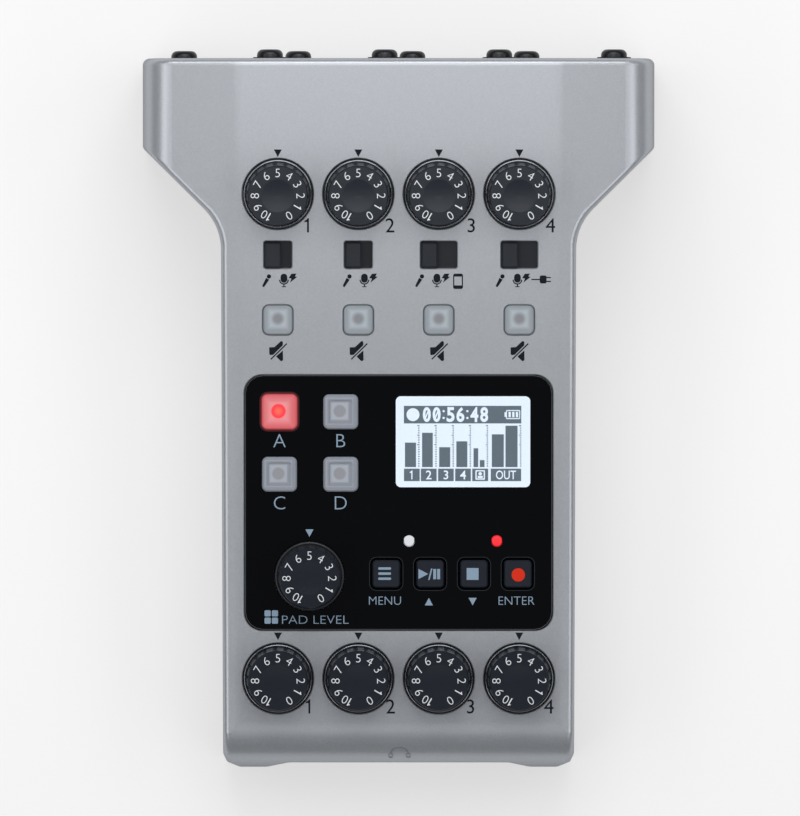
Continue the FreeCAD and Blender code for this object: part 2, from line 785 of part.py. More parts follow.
def sloping_rim(width, depth, corner, x, y, bevel):
    """Block that cuts a sloping rim, bevel wide, round a hole in the skin of the panel."""
    wires = []
    for grow, z in ((0.0, -bevel), (2 * bevel, bevel)):
        left, right = both_ways(x, width / 2 + grow)
        front, rear = both_ways(y, depth / 2 + grow)
        radius = corner + grow
        corners = [(left, front, radius), (right, front, radius), (right, rear, radius), (left, rear, radius)]
        wires.append(rounded_outline(corners, z))
    return Part.makeLoft(wires, True, True)


def build_window():
    """Clear lens of the display, flush with the glossy panel."""
    return on_panel(around_window(-FIT / 2, WINDOW_CORNER - FIT / 2, -DISPLAY_THICKNESS, 0))


def build_lcd_module():
    """Display module: a frame on the control board that holds the glass under the lens."""
    top = -DISPLAY_THICKNESS - FIT
    frame = around_window(LCD_BORDER, LCD_CORNER, BOARD_TOP, top)
    return on_panel(frame.cut(around_window(GLASS_MARGIN, LCD_CORNER, top - GLASS_SEAT, top)))


def build_light_pipes():
    """Two clear light pipes from the board's lamps to the display panel."""
    pipes = []
    for x, y in LIGHT_PLACES:
        pipes.append(on_panel(disc(LIGHT_RADIUS, x, DISPLAY_Y + y, BOARD_TOP + LAMP_HEIGHT, 0.0)))
    return Part.makeCompound(pipes)


def ribbed_wire(radius, z):
    """Outline of the knob's grip: flat ribs with a V groove after each."""
    groove = (1 + RIB_SHARE) / 2
    corners = ((0.0, radius), (RIB_SHARE, radius), (groove, radius - RIB_DEPTH))
    points = []
    for rib in range(RIB_COUNT):
        for share, reach in corners:
            angle = 2 * math.pi * (rib + share) / RIB_COUNT
            points.append(Vector(reach * math.cos(angle), reach * math.sin(angle), z))
    return Part.makePolygon(points + points[:1])


def build_knob():
    """Knob with its potentiometer shaft, standing on the drawing plane's origin."""
    skirt = disc(KNOB_RADIUS, 0, 0, -KNOB_SINK, SKIRT_STAND)
    cap_foot = KNOB_HEIGHT - CAP_HEIGHT
    bevel_foot = KNOB_HEIGHT - CAP_BEVEL
    wires = [ribbed_wire(GRIP_RADIUS, 0.0), ribbed_wire(GRIP_TOP_RADIUS, cap_foot)]
    grip = Part.makeLoft(wires, True, True)
    cap = disc(CAP_RADIUS, 0, 0, cap_foot, bevel_foot)
    bevel = Part.makeCone(CAP_RADIUS, CAP_RADIUS - CAP_BEVEL, CAP_BEVEL, Vector(0, 0, bevel_foot))
    ball_radius = (DISH_RADIUS ** 2 + DISH_DEPTH ** 2) / (2 * DISH_DEPTH)
    dish = Part.makeSphere(ball_radius, Vector(0, 0, KNOB_HEIGHT - DISH_DEPTH + ball_radius))
    bore = disc(SHAFT_RADIUS + SHAFT_FIT, 0, 0, -KNOB_SINK, SHAFT_TOP + SHAFT_FIT)
    knob = skirt.fuse([grip, cap, bevel]).cut([dish, bore]).removeSplitter()
    shaft = disc(SHAFT_RADIUS, 0, 0, BOARD_TOP + SHAFT_FOOT, SHAFT_TOP)
    return Part.makeCompound([knob, shaft])


def build_pots():
    """Bodies of the nine rotary potentiometers on the control board."""
    bodies = []
    top = BOARD_TOP + POT_HEIGHT
    for _, x, y in knob_places():
        left, right = both_ways(x, POT_WIDTH / 2)
        front, rear = both_ways(y, POT_WIDTH / 2)
        body = box((left, front, BOARD_TOP), (right, rear, top))
        radius = SHAFT_RADIUS + RUNNING_CLEARANCE
        bore = disc(radius, x, y, BOARD_TOP + SHAFT_FOOT - FIT, top + OVERCUT)
        bodies.append(on_panel(body.cut(bore)))
    return Part.makeCompound(bodies)


def slider_middle(x, travel):
    """Middle of a slide switch's cap, at the left end of its slot."""
    return x - slot_width(travel) / 2 + FIT / 2 + SLIDER_WIDTH / 2


def build_slider(x, travel):
    """Cap of a slide switch with the plate that hides its slot and the stem below."""
    depth = SLOT_DEPTH - 2 * FIT
    plate_top = -WALL - SLIDER_PLATE_GAP
    plate_bottom = plate_top - SLIDER_PLATE
    middle = slider_middle(x, travel)
    cap = rounded_box(SLIDER_WIDTH, depth, SLOT_CORNER, middle, SWITCH_ROW, plate_top, SLIDER_STAND)
    top_edges = [edge for edge in cap.Edges if middle_of(edge).z > SLIDER_STAND - TOUCH]
    cap = cap.makeChamfer(SLIDER_CHAMFER, top_edges)
    left, right = both_ways(x, slot_width(travel) / 2 + SLIDER_PLATE_GAP)
    front, rear = both_ways(SWITCH_ROW, SLOT_DEPTH / 2 + SLIDER_PLATE_MARGIN)
    plate = box((left - travel, front, plate_bottom), (right, rear, plate_top))
    left, right = both_ways(middle, SLIDER_STEM / 2)
    front, rear = both_ways(SWITCH_ROW, SLIDER_STEM / 2)
    stem_foot = BOARD_TOP + SLIDE_BODY_HEIGHT - STEM_ENGAGEMENT
    stem = box((left, front, stem_foot), (right, rear, plate_bottom))
    return on_panel(cap.fuse([plate, stem]).removeSplitter())


def build_slide_bodies():
    """Bodies of the four slide switches, each slotted for its stem."""
    bodies = []
    top = BOARD_TOP + SLIDE_BODY_HEIGHT
    for x, travel in zip(COLUMNS, TRAVELS):
        left, right = both_ways(slider_middle(x, travel), SLIDER_STEM / 2)
        right += travel
        front, rear = both_ways(SWITCH_ROW, SLIDE_BODY_DEPTH / 2)
        low = (left - SLIDE_BODY_MARGIN, front, BOARD_TOP)
        body = box(low, (right + SLIDE_BODY_MARGIN, rear, top))
        front, rear = both_ways(SWITCH_ROW, SLIDER_STEM / 2 + FIT)
        floor = top - STEM_ENGAGEMENT - 2 * FIT
        slot = box((left - FIT, front, floor), (right + FIT, rear, top + OVERCUT))
        bodies.append(on_panel(body.cut(slot)))
    return Part.makeCompound(bodies)


def build_button(width, corner, stand, ceiling, x, y, rim=0.0):
    """Button through a hole, held by a flange under the ceiling; a rim leaves its middle sunk."""
    flange_top = -ceiling - FLANGE_CLEARANCE
    flange_bottom = flange_top - FLANGE_THICKNESS
    cap = rounded_box(width, width, corner, x, y, flange_bottom, stand)
    top_edges = [edge for edge in cap.Edges if middle_of(edge).z > stand - TOUCH]
    cap = cap.makeChamfer(min(BUTTON_CHAMFER, stand - FIT / 2), top_edges)
    left, right = both_ways(x, width / 2 + BUTTON_FLANGE)
    front, rear = both_ways(y, width / 2 + BUTTON_FLANGE)
    button = cap.fuse(box((left, front, flange_bottom), (right, rear, flange_top)))
    if rim:
        inside = width - 2 * rim
        button = button.cut(rounded_box(inside, inside, corner / 2, x, y, stand - PAD_SINK, stand + OVERCUT))
    return on_panel(button.removeSplitter())


def build_tact_switches():
    """Snap switches on the control board, one under each button, pad and key."""
    switches = []
    rows = [(mute_places(), WALL)]
    rows.append((pad_places() + key_places(), DISPLAY_THICKNESS + DISPLAY_FLOOR))
    for places, ceiling in rows:
        flange_bottom = -ceiling - FLANGE_CLEARANCE - FLANGE_THICKNESS
        tip = flange_bottom - BUTTON_TRAVEL - PLUNGER_CLEARANCE
        for _, x, y in places:
            left, right = both_ways(x, TACT_WIDTH / 2)
            front, rear = both_ways(y, TACT_WIDTH / 2)
            body = box((left, front, BOARD_TOP), (right, rear, tip - PLUNGER_STAND))
            plunger = disc(PLUNGER_RADIUS, x, y, tip - PLUNGER_STAND, tip)
            switches.append(on_panel(body.fuse(plunger)))
    return Part.makeCompound(switches)


def screw_places():
    """X and Z of the microphone sockets' screws, two on a diagonal of each socket."""
    places = []
    for x in SOCKET_COLUMNS:
        for side in (-1, 1):
            places.append((x + side * SOCKET_SCREW_X, SOCKET_HEIGHT + side * SOCKET_SCREW_Z))
    return places


def build_rear_plate(inner_with_fit):
    """Dark rear plate, trapped behind the case rim, with raised pads for the screws."""
    face = REAR_Y - PLATE_RECESS
    flange_face = REAR_Y - WALL - FIT
    flange_back = plate_back()
    plate = rear_opening(-COVER_GAP, flange_face, face)
    slab = box((-REACH, flange_back, -REACH), (REACH, flange_face, REACH))
    plate = plate.fuse(inner_with_fit.common(slab))
    rearwards = (0, 1, 0)
    pads = [rod(SCREW_PAD_RADIUS, (x, face, z), SCREW_PAD_STAND, rearwards) for x, z in screw_places()]
    holes = []
    for x in SOCKET_COLUMNS:
        start = (x, flange_back - OVERCUT, SOCKET_HEIGHT)
        holes.append(rod(SOCKET_FACE_RADIUS + COVER_GAP, start, REACH, rearwards))
    for x, z in screw_places():
        start = (x, flange_back - OVERCUT, z)
        holes.append(rod(SCREW_SHANK_RADIUS + SCREW_CLEARANCE, start, REACH, rearwards))
    return plate.fuse(pads).cut(holes).removeSplitter()


def plate_back():
    """Y of the rear plate's inner side, which the sockets' flanges press on."""
    return REAR_Y - WALL - PLATE_FLANGE


def socket_front():
    """Y of the microphone sockets' front ring."""
    return REAR_Y - PLATE_RECESS + SOCKET_FACE_STAND


def socket_back():
    """Y of the microphone sockets' rear end, on the socket board."""
    return socket_front() - SOCKET_LENGTH


def contact_places():
    """Offsets of a socket's three contacts, in a triangle with one at the bottom."""
    places = []
    for angle in (-90, 30, 150):
        turn = math.radians(angle)
        places.append((CONTACT_CIRCLE_RADIUS * math.cos(turn), CONTACT_CIRCLE_RADIUS * math.sin(turn)))
    return places


def build_socket(x):
    """Housing of a microphone socket: flange, barrel, front ring and keyway, open right through."""
    front = socket_front()
    back = socket_back() + INSERT_FLANGE
    flange_back = plate_back() - FLANGE_DEPTH
    along = (0, 1, 0)
    flange = rounded_box(FLANGE_WIDTH, FLANGE_HEIGHT, FLANGE_CORNER, 0, 0, 0, FLANGE_DEPTH)
    flange = facing_rear(flange, x, flange_back, SOCKET_HEIGHT)
    barrel = rod(BARREL_RADIUS, (x, back, SOCKET_HEIGHT), plate_back() - back, along)
    ring = rod(SOCKET_FACE_RADIUS, (x, flange_back, SOCKET_HEIGHT), front - flange_back, along)
    bore = rod(SLEEVE_RADIUS, (x, back - OVERCUT, SOCKET_HEIGHT), REACH, along)
    left, right = both_ways(x, KEYWAY_WIDTH / 2)
    keyway_top = SOCKET_HEIGHT + SLEEVE_RADIUS + KEYWAY_DEPTH
    keyway = box((left, front - SLEEVE_DEPTH, SOCKET_HEIGHT), (right, front + OVERCUT, keyway_top))
    cuts = [bore, keyway]
    for across, up in screw_places():
        start = (across, back - OVERCUT, up)
        cuts.append(rod(SCREW_SHANK_RADIUS + SCREW_CLEARANCE, start, REACH, along))
    return barrel.fuse([flange, ring]).cut(cuts).removeSplitter()


def build_inserts():
    """Contact inserts of the four microphone sockets: a flange, a plug in the barrel and a core."""
    back = socket_back()
    along = (0, 1, 0)
    inserts = []
    for x in SOCKET_COLUMNS:
        start = (x, back, SOCKET_HEIGHT)
        flange = rod(BARREL_RADIUS, start, INSERT_FLANGE, along)
        plug = rod(SLEEVE_RADIUS - SCREW_CLEARANCE, start, SOCKET_LENGTH - SLEEVE_DEPTH, along)
        core = rod(CORE_RADIUS, start, SOCKET_LENGTH - CORE_RECESS, along)
        bores = []
        for across, up in contact_places():
            bore_start = (x + across, back - OVERCUT, SOCKET_HEIGHT + up)
            bores.append(rod(CONTACT_RADIUS + SCREW_CLEARANCE, bore_start, REACH, along))
        inserts.append(flange.fuse([plug, core]).cut(bores).removeSplitter())
    return Part.makeCompound(inserts)


def build_socket_contacts():
    """Twelve socket contacts, each a bored sleeve with a tail that meets the socket board."""
    front = socket_front() - CORE_RECESS - CONTACT_SINK
    foot = front - CONTACT_LENGTH
    along = (0, 1, 0)
    contacts = []
    for middle in SOCKET_COLUMNS:
        for across, up in contact_places():
            x, z = middle + across, SOCKET_HEIGHT + up
            sleeve = rod(CONTACT_RADIUS, (x, foot, z), CONTACT_LENGTH, along)
            bore = rod(CONTACT_BORE_RADIUS, (x, front - CONTACT_BORE_DEPTH, z), REACH, along)
            left, right = both_ways(x, CONTACT_TAIL / 2)
            low, high = both_ways(z, CONTACT_TAIL / 2)
            tail = box((left, socket_back(), low), (right, foot, high))
            contacts.append(sleeve.fuse(tail).cut(bore))
    return Part.makeCompound(contacts)


def build_socket_screws():
    """Eight pan-head screws that hold the microphone sockets to the rear plate."""
    seat = REAR_Y - PLATE_RECESS + SCREW_PAD_STAND
    along = Vector(0, 1, 0)
    screws = []
    for x, z in screw_places():
        crown = Vector(x, seat, z)
        head = Part.makeCone(SCREW_HEAD_RADIUS, SCREW_CROWN_RADIUS, SCREW_HEAD_HEIGHT, crown, along)
        shank = rod(SCREW_SHANK_RADIUS, (x, seat - SCREW_SHANK_LENGTH, z), SCREW_SHANK_LENGTH, along)
        screws.append(head.fuse(shank).removeSplitter())
    return Part.makeCompound(screws)


def build_socket_board():
    """Upright board that the microphone contacts meet."""
    back = socket_back()
    reach = SOCKET_COLUMNS[-1] + BARREL_RADIUS - SOCKET_BOARD_SETBACK
    low = (-reach, back - BOARD_THICKNESS, SOCKET_BOARD_BOTTOM)
    return box(low, (reach, back, SOCKET_BOARD_TOP))


def boss_clearances():
    """Columns of room round the case screws' bosses, for the boards."""
    return [disc(TOWER_RADIUS + BOARD_CLEARANCE, x, y, 0, REACH) for x, y in BOSS_PLACES]


def build_control_board():
    """Sloping board under the panel, cut out round the case screws' bosses."""
    front = HEADPHONE_ROW - POT_WIDTH / 2 - CONTROL_BOARD_MARGINS[0]
    rear = INPUT_ROW + POT_WIDTH / 2 + CONTROL_BOARD_MARGINS[1]
    width = 2 * CONTROL_BOARD_HALF_WIDTH
    bottom = BOARD_TOP - BOARD_THICKNESS
    board = rounded_box(width, rear - front, BOARD_CORNER, 0, (rear + front) / 2, bottom, BOARD_TOP)
    return on_panel(board).cut(boss_clearances())


def build_main_board():
    """Level main board over the battery bay, with its larger chips."""
    front, rear = MAIN_BOARD_ENDS
    top = MAIN_BOARD_HEIGHT + BOARD_THICKNESS
    width = 2 * MAIN_BOARD_HALF_WIDTH
    board = rounded_box(width, rear - front, BOARD_CORNER, 0, (rear + front) / 2, MAIN_BOARD_HEIGHT, top)
    chips = [box(*span((x, y, top), (width, depth, height))) for x, y, width, depth, height in CHIPS]
    return board.fuse(chips).cut(boss_clearances())


def build_headphone_board():
    """Small board that carries the four headphone sockets."""
    reach = COLUMNS[-1] + PHONE_BODY_WIDTH / 2 + HEADPHONE_BOARD_MARGIN
    low = (-reach, front_wall_inside() + BOARD_CLEARANCE, HEADPHONE_BOARD_HEIGHT)
    board = box(*span(low, (2 * reach, HEADPHONE_BOARD_DEPTH, BOARD_THICKNESS)))
    return board.cut(boss_clearances())


def front_bay_face():
    """Y of the flat floor of the bay in the front wall."""
    return FRONT_Y + FRONT_BAY_DEPTH


def front_wall_inside():
    """Y of the inner side of the front wall behind the headphone sockets."""
    return front_bay_face() + WALL


def headphone_socket_height():
    """Height of the headphone sockets' axis above the table."""
    return HEADPHONE_BOARD_HEIGHT + BOARD_THICKNESS + PHONE_BODY_HEIGHT / 2


def build_headphone_jacks():
    """Four 3.5 mm sockets behind the front wall, one under each headphone knob."""
    z = headphone_socket_height()
    inside = front_wall_inside()
    face = front_bay_face()
    low, high = both_ways(z, PHONE_BODY_HEIGHT / 2)
    jacks = []
    for x in COLUMNS:
        left, right = both_ways(x, PHONE_BODY_WIDTH / 2)
        body = box((left, inside, low), (right, inside + PHONE_BODY_LENGTH, high))
        nose = rod(NOSE_RADIUS, (x, face, z), WALL + OVERCUT, (0, 1, 0))
        bore = rod(PLUG_BORE_RADIUS, (x, face - OVERCUT, z), PLUG_BORE_LENGTH + OVERCUT, (0, 1, 0))
        jacks.append(body.fuse(nose).cut(bore))
    return Part.makeCompound(jacks)


def side_x(y):
    """Half width of the case waist at a distance y."""
    front_y = FRONT_Y + CORNER_LENGTH
    rear_y = REAR_Y - WING_DEPTH - SHOULDER_LENGTH
    share = (y - front_y) / (rear_y - front_y)
    return (WAIST_WIDTH_FRONT + share * (WAIST_WIDTH_REAR - WAIST_WIDTH_FRONT)) / 2


def left_inside(y):
    """X of the inner side of the left wall at a distance y, plus a small clearance."""
    return -side_x(y) + WALL + FIT


def phone_jack_height():
    """Height of the smartphone socket's axis, hung under the main board."""
    return MAIN_BOARD_HEIGHT - PHONE_BODY_HEIGHT / 2


def build_phone_jack():
    """3.5 mm smartphone socket on the left side."""
    y, z = PHONE_JACK_Y, phone_jack_height()
    inside = left_inside(y)
    face = -side_x(y) + SIDE_INSET
    front, rear = both_ways(y, PHONE_BODY_WIDTH / 2)
    low, high = both_ways(z, PHONE_BODY_HEIGHT / 2)
    body = box((inside, front, low), (inside + PHONE_BODY_LENGTH, rear, high))
    nose = rod(NOSE_RADIUS, (face, y, z), inside - face + OVERCUT, (1, 0, 0))
    bore = rod(PLUG_BORE_RADIUS, (face - OVERCUT, y, z), PLUG_BORE_LENGTH + OVERCUT, (1, 0, 0))
    return body.fuse(nose).cut(bore)


def usb_height():
    """Height of the data sockets' middle, hung under the main board."""
    return MAIN_BOARD_HEIGHT - USB_HEIGHT / 2


def facing_left(shape, x, y, z):
    """Turn a shape drawn with its face up so that the face looks to -X, and place it."""
    turned = shape.copy()
    turned.rotate(Vector(0, 0, 0), Vector(0, 0, 1), 90)
    turned.rotate(Vector(0, 0, 0), Vector(0, 1, 0), -90)
    turned.translate(Vector(x, y, z))
    return turned


def rounded_slot(width, height, low, high):
    """Upright block with fully rounded ends."""
    return rounded_box(width, height, height / 2 - TOUCH, 0, 0, low, high)


def build_usb_ports():
    """Two data sockets on the left side: a rounded metal shell round a flat tongue."""
    root = USB_TONGUE_ROOT
    tip = root + USB_TONGUE_DEPTH
    ports = []
    for y in (USB_AUDIO_Y, USB_POWER_Y):
        shell = rounded_slot(USB_WIDTH, USB_HEIGHT, 0, USB_DEPTH)
        mouth = rounded_slot(USB_WIDTH - 2 * USB_SHELL, USB_HEIGHT - 2 * USB_SHELL, USB_BACK, USB_DEPTH)
        tongue = rounded_box(USB_TONGUE_WIDTH, USB_TONGUE_HEIGHT, USB_TONGUE_CORNER, 0, 0, root, tip)
        face = -side_x(y) + SIDE_INSET
        ports.append(facing_left(shell.cut(mouth).fuse(tongue), face + USB_DEPTH, y, usb_height()))
    return Part.makeCompound(ports)


def power_switch_height():
    """Height of the power slider, hung under the main board."""
    return MAIN_BOARD_HEIGHT - POWER_BODY_HEIGHT / 2


def neck_box(start, end, grow, travel):
    """Block along X round the power slider's neck, grown by grow and stretched by its travel."""
    front, rear = both_ways(POWER_SWITCH_Y, POWER_NECK_WIDTH / 2 + grow)
    low, high = both_ways(power_switch_height(), POWER_NECK_HEIGHT / 2 + grow)
    return box((start, front, low), (end, rear + travel, high))


def build_power_switch():
    """Slider of the power switch: ribbed cap and a neck through the wall into its body."""
    y = POWER_SWITCH_Y
    outside = -side_x(y)
    floor = outside + POWER_DISH_DEPTH - FIT
    front, rear = both_ways(y, POWER_CAP_LENGTH / 2)
    low, high = both_ways(power_switch_height(), POWER_CAP_HEIGHT / 2)
    cap = box((outside + POWER_CAP_SETBACK, front, low), (floor, rear, high))
    grooves = []
    for step in (-1, 0, 1):
        start, end = both_ways(y + step * POWER_RIB_PITCH, POWER_RIB_GROOVE / 2)
        groove_low = (outside - OVERCUT, start, low - OVERCUT)
        grooves.append(box(groove_low, (outside + POWER_RIB_GROOVE, end, high + OVERCUT)))
    neck = neck_box(floor - POWER_RIB_GROOVE, left_inside(y) + POWER_NECK_REACH, 0.0, 0.0)
    return cap.cut(grooves).fuse(neck).removeSplitter()


def power_body_block(grow):
    """Block of the power switch's body behind the left wall, grown by grow on each side."""
    inside = left_inside(POWER_SWITCH_Y)
    front, rear = both_ways(POWER_SWITCH_Y, POWER_NECK_WIDTH / 2 + POWER_BODY_MARGIN + grow)
    low, high = both_ways(power_switch_height(), POWER_BODY_HEIGHT / 2 + grow)
    return box((inside - grow, front, low), (inside + POWER_BODY_DEPTH + grow, rear + POWER_TRAVEL, high))


def build_power_switch_body():
    """Body of the power switch under the main board, slotted for the slider's neck."""
    inside = left_inside(POWER_SWITCH_Y)
    slot = neck_box(inside - OVERCUT, inside + POWER_NECK_REACH + FIT, FIT, POWER_TRAVEL)
    return power_body_block(0.0).cut(slot)


def card_height():
    """Height of the memory card's middle, in its slot under the main board."""
    return MAIN_BOARD_HEIGHT - CARD_SLOT_HEIGHT / 2


def cover_inner_x():
    """X of the inner face of the closed card cover."""
    return side_x(CARD_Y) - SIDE_INSET + COVER_STAND - COVER_THICKNESS


def card_room(start, end, grow):
    """Block along X as wide and high as the card, grown by grow on each side."""
    front, rear = both_ways(CARD_Y, CARD_WIDTH / 2 + grow)
    low, high = both_ways(card_height(), CARD_THICKNESS / 2 + grow)
    return box((start, front, low), (end, rear, high))


def build_card_slot():
    """Metal slot for the memory card, hung under the main board."""
    end = cover_inner_x() - COVER_GAP - COVER_BACKING
    start = end - CARD_SLOT_LENGTH
    front, rear = both_ways(CARD_Y, CARD_SLOT_WIDTH / 2)
    low, high = both_ways(card_height(), CARD_SLOT_HEIGHT / 2)
    body = box((start, front, low), (end, rear, high))
    return body.cut(card_room(start - OVERCUT, end + OVERCUT, CARD_FIT))


def build_memory_card():
    """Memory card with its cut corner, pushed home behind the cover."""
    end = cover_inner_x() - CARD_SETBACK
    start = end - CARD_LENGTH
    front, rear = both_ways(CARD_Y, CARD_WIDTH / 2)
    low = card_height() - CARD_THICKNESS / 2
    outline = [
        (start, front, low),
        (end, front, low),
        (end, rear, low),
        (start + CARD_CORNER_CUT, rear, low),
        (start, rear - CARD_CORNER_CUT, low),
    ]
    return prism(outline, (0, 0, CARD_THICKNESS))


def cover_axis():
    """X and Z of the card cover's hinge axis."""
    return cover_inner_x() + COVER_THICKNESS / 2, COVER_BOTTOM + COVER_THICKNESS / 2


def along_cover(radius, x, z, half):
    """Rod along Y, as long each way from the card's middle as half."""
    return rod(radius, (x, CARD_Y - half, z), 2 * half, (0, 1, 0))


def build_card_cover():
    """Hinged card cover: a plate with a rounded foot and a trunnion pin at each end."""
    axis_x, axis_z = cover_axis()
    inner = cover_inner_x()
    outer = inner + COVER_THICKNESS
    top = COVER_BOTTOM + COVER_HEIGHT
    front, rear = both_ways(CARD_Y, COVER_HALF_LENGTH)
    plate = box((inner, front, axis_z), (outer, rear, top))
    foot = along_cover(COVER_THICKNESS / 2, axis_x, axis_z, COVER_HALF_LENGTH)
    pin = along_cover(COVER_PIN_RADIUS, axis_x, axis_z, COVER_HALF_LENGTH + COVER_PIN_LENGTH)
    nick = along_cover(NICK_RADIUS, outer + NICK_OFFSET, top, NICK_LENGTH / 2)
    return plate.fuse([foot, pin]).cut(nick).removeSplitter()


def card_opening_cuts():
    """Recess for the cover, its pin holes and the slot behind it, in the right wall."""
    axis_x, axis_z = cover_axis()
    inner = cover_inner_x() - COVER_GAP
    front, rear = both_ways(CARD_Y, COVER_HALF_LENGTH + COVER_GAP)
    top = COVER_BOTTOM + COVER_HEIGHT + COVER_GAP
    recess = box((inner, front, COVER_BOTTOM - COVER_GAP), (REACH, rear, top))
    pin_reach = COVER_HALF_LENGTH + COVER_PIN_LENGTH + COVER_GAP
    pin_hole = along_cover(COVER_PIN_RADIUS + RUNNING_CLEARANCE, axis_x, axis_z, pin_reach)
    return [recess, pin_hole, card_room(inner - COVER_BACKING - OVERCUT, REACH, CARD_MOUTH_ROOM)]


def card_backing():
    """Thicker wall behind the card cover's recess."""
    inner = cover_inner_x() - COVER_GAP
    front, rear = both_ways(CARD_Y, COVER_HALF_LENGTH + BACKING_MARGIN)
    low = (inner - COVER_BACKING + FIT, front, COVER_BOTTOM - BACKING_FOOT)
    return box(low, (inner + WALL, rear, MAIN_BOARD_HEIGHT + BACKING_RISE))


def door_reach():
    """Half size of the battery door along X and Y."""
    return BAY_HALF_LENGTH + BAY_WALL, BAY_HALF_DEPTH + BAY_WALL


def door_axis():
    """Y and Z of the battery door's hinge axis."""
    reach_y = door_reach()[1] - DOOR_GAP
    return BAY_Y + reach_y - DOOR_THICKNESS / 2, CASE_BOTTOM + DOOR_THICKNESS / 2


def build_battery_cover():
    """Battery door: plate with a rounded hinge edge, two hook tabs, a latch leaf and a grip."""
    half_x, half_y = (reach - DOOR_GAP for reach in door_reach())
    axis_y, axis_z = door_axis()
    top = CASE_BOTTOM + DOOR_THICKNESS
    front = BAY_Y - half_y
    plate = box((-half_x, front, CASE_BOTTOM), (half_x, axis_y, top))
    pieces = [rod(DOOR_THICKNESS / 2, (-half_x, axis_y, axis_z), 2 * half_x, (1, 0, 0))]
    for side in (-1, 1):
        left, right = both_ways(side * DOOR_TAB_PLACE, DOOR_TAB_WIDTH / 2)
        low = (left, axis_y, axis_z + FIT)
        pieces.append(box(low, (right, BAY_Y + half_y + DOOR_TAB_LENGTH, top)))
    leaf_low = (-LATCH_WIDTH / 2, front + LATCH_SETBACK, axis_z)
    pieces.append(box(*span(leaf_low, (LATCH_WIDTH, LATCH_THICKNESS, top + LATCH_HEIGHT - axis_z))))
    grip_low = CASE_BOTTOM - THUMB_GRIP_RADIUS
    grip = disc(THUMB_GRIP_RADIUS, 0, front + THUMB_GRIP_PLACE, grip_low, CASE_BOTTOM + THUMB_GRIP_DEPTH)
    return plate.fuse(pieces).cut(grip).removeSplitter()


def battery_bay_cuts():
    """Room for the cells, the door's recess, its tab slots and the latch pocket."""
    half_x, half_y = door_reach()
    axis_y, axis_z = door_axis()
    top = CASE_BOTTOM + DOOR_THICKNESS + RUNNING_CLEARANCE
    front, rear = both_ways(BAY_Y, BAY_HALF_DEPTH)
    cuts = [box((-BAY_HALF_LENGTH, front, 0), (BAY_HALF_LENGTH, rear, BAY_TOP))]
    cuts.append(box((-half_x, BAY_Y - half_y, 0), (half_x, BAY_Y + half_y, top)))
    for side in (-1, 1):
        left, right = both_ways(side * DOOR_TAB_PLACE, DOOR_TAB_WIDTH / 2 + DOOR_GAP)
        tab_end = BAY_Y + half_y + DOOR_TAB_LENGTH + DOOR_GAP
        cuts.append(box((left, axis_y - OVERCUT, axis_z), (right, tab_end, axis_z + DOOR_OPEN_ROOM)))
    left, right = both_ways(0.0, LATCH_WIDTH / 2 + DOOR_GAP)
    pocket_top = top + LATCH_HEIGHT + LATCH_ROOM
    cuts.append(box((left, BAY_Y - half_y, axis_z), (right, front + FIT, pocket_top)))
    return cuts


def build_battery_cells():
    """Two AA cells side by side, turned opposite ways."""
    cells = []
    for side in (-1, 1):
        y = BAY_Y + side * CELL_SPACING / 2
        tip = side * (BAY_HALF_LENGTH - CONTACT_PLATE)
        start = tip - side * CELL_NUB_LENGTH
        direction = (-side, 0, 0)
        body = rod(CELL_RADIUS, (start, y, CELL_HEIGHT), CELL_BODY_LENGTH, direction)
        nub = rod(CELL_NUB_RADIUS, (tip, y, CELL_HEIGHT), CELL_NUB_LENGTH, direction)
        cells.append(body.fuse(nub))
    return Part.makeCompound(cells)


def build_battery_contacts():
    """Flat contacts for the cells' nubs and bent leaf contacts for their flat ends."""
    half = CONTACT_WIDTH / 2
    low, high = both_ways(CELL_HEIGHT, LEAF_HALF_HEIGHT)
    tip_low, tip_high = both_ways(CELL_HEIGHT, LEAF_TIP)
    pieces = []
    for side in (-1, 1):
        y = BAY_Y + side * CELL_SPACING / 2 - half
        wall = side * BAY_HALF_LENGTH
        x_low, x_high = sorted((wall, wall - side * CONTACT_PLATE))
        pieces.append(box((x_low, y, CELL_HEIGHT - half), (x_high, y + CONTACT_WIDTH, CELL_HEIGHT + half)))
        tip = -wall + side * LEAF_REACH
        bend = -wall + side * LEAF_THICKNESS
        knee = tip - side * LEAF_THICKNESS
        outline = [
            (-wall, y, low),
            (-wall, y, high),
            (bend, y, high),
            (tip, y, tip_high),
            (tip, y, tip_low),
            (knee, y, tip_low),
            (knee, y, tip_high - LEAF_THICKNESS / 2),
            (bend, y, high - LEAF_SLANT),
            (bend, y, low),
        ]
        pieces.append(prism(outline, (0, CONTACT_WIDTH, 0)))
    return Part.makeCompound(pieces)


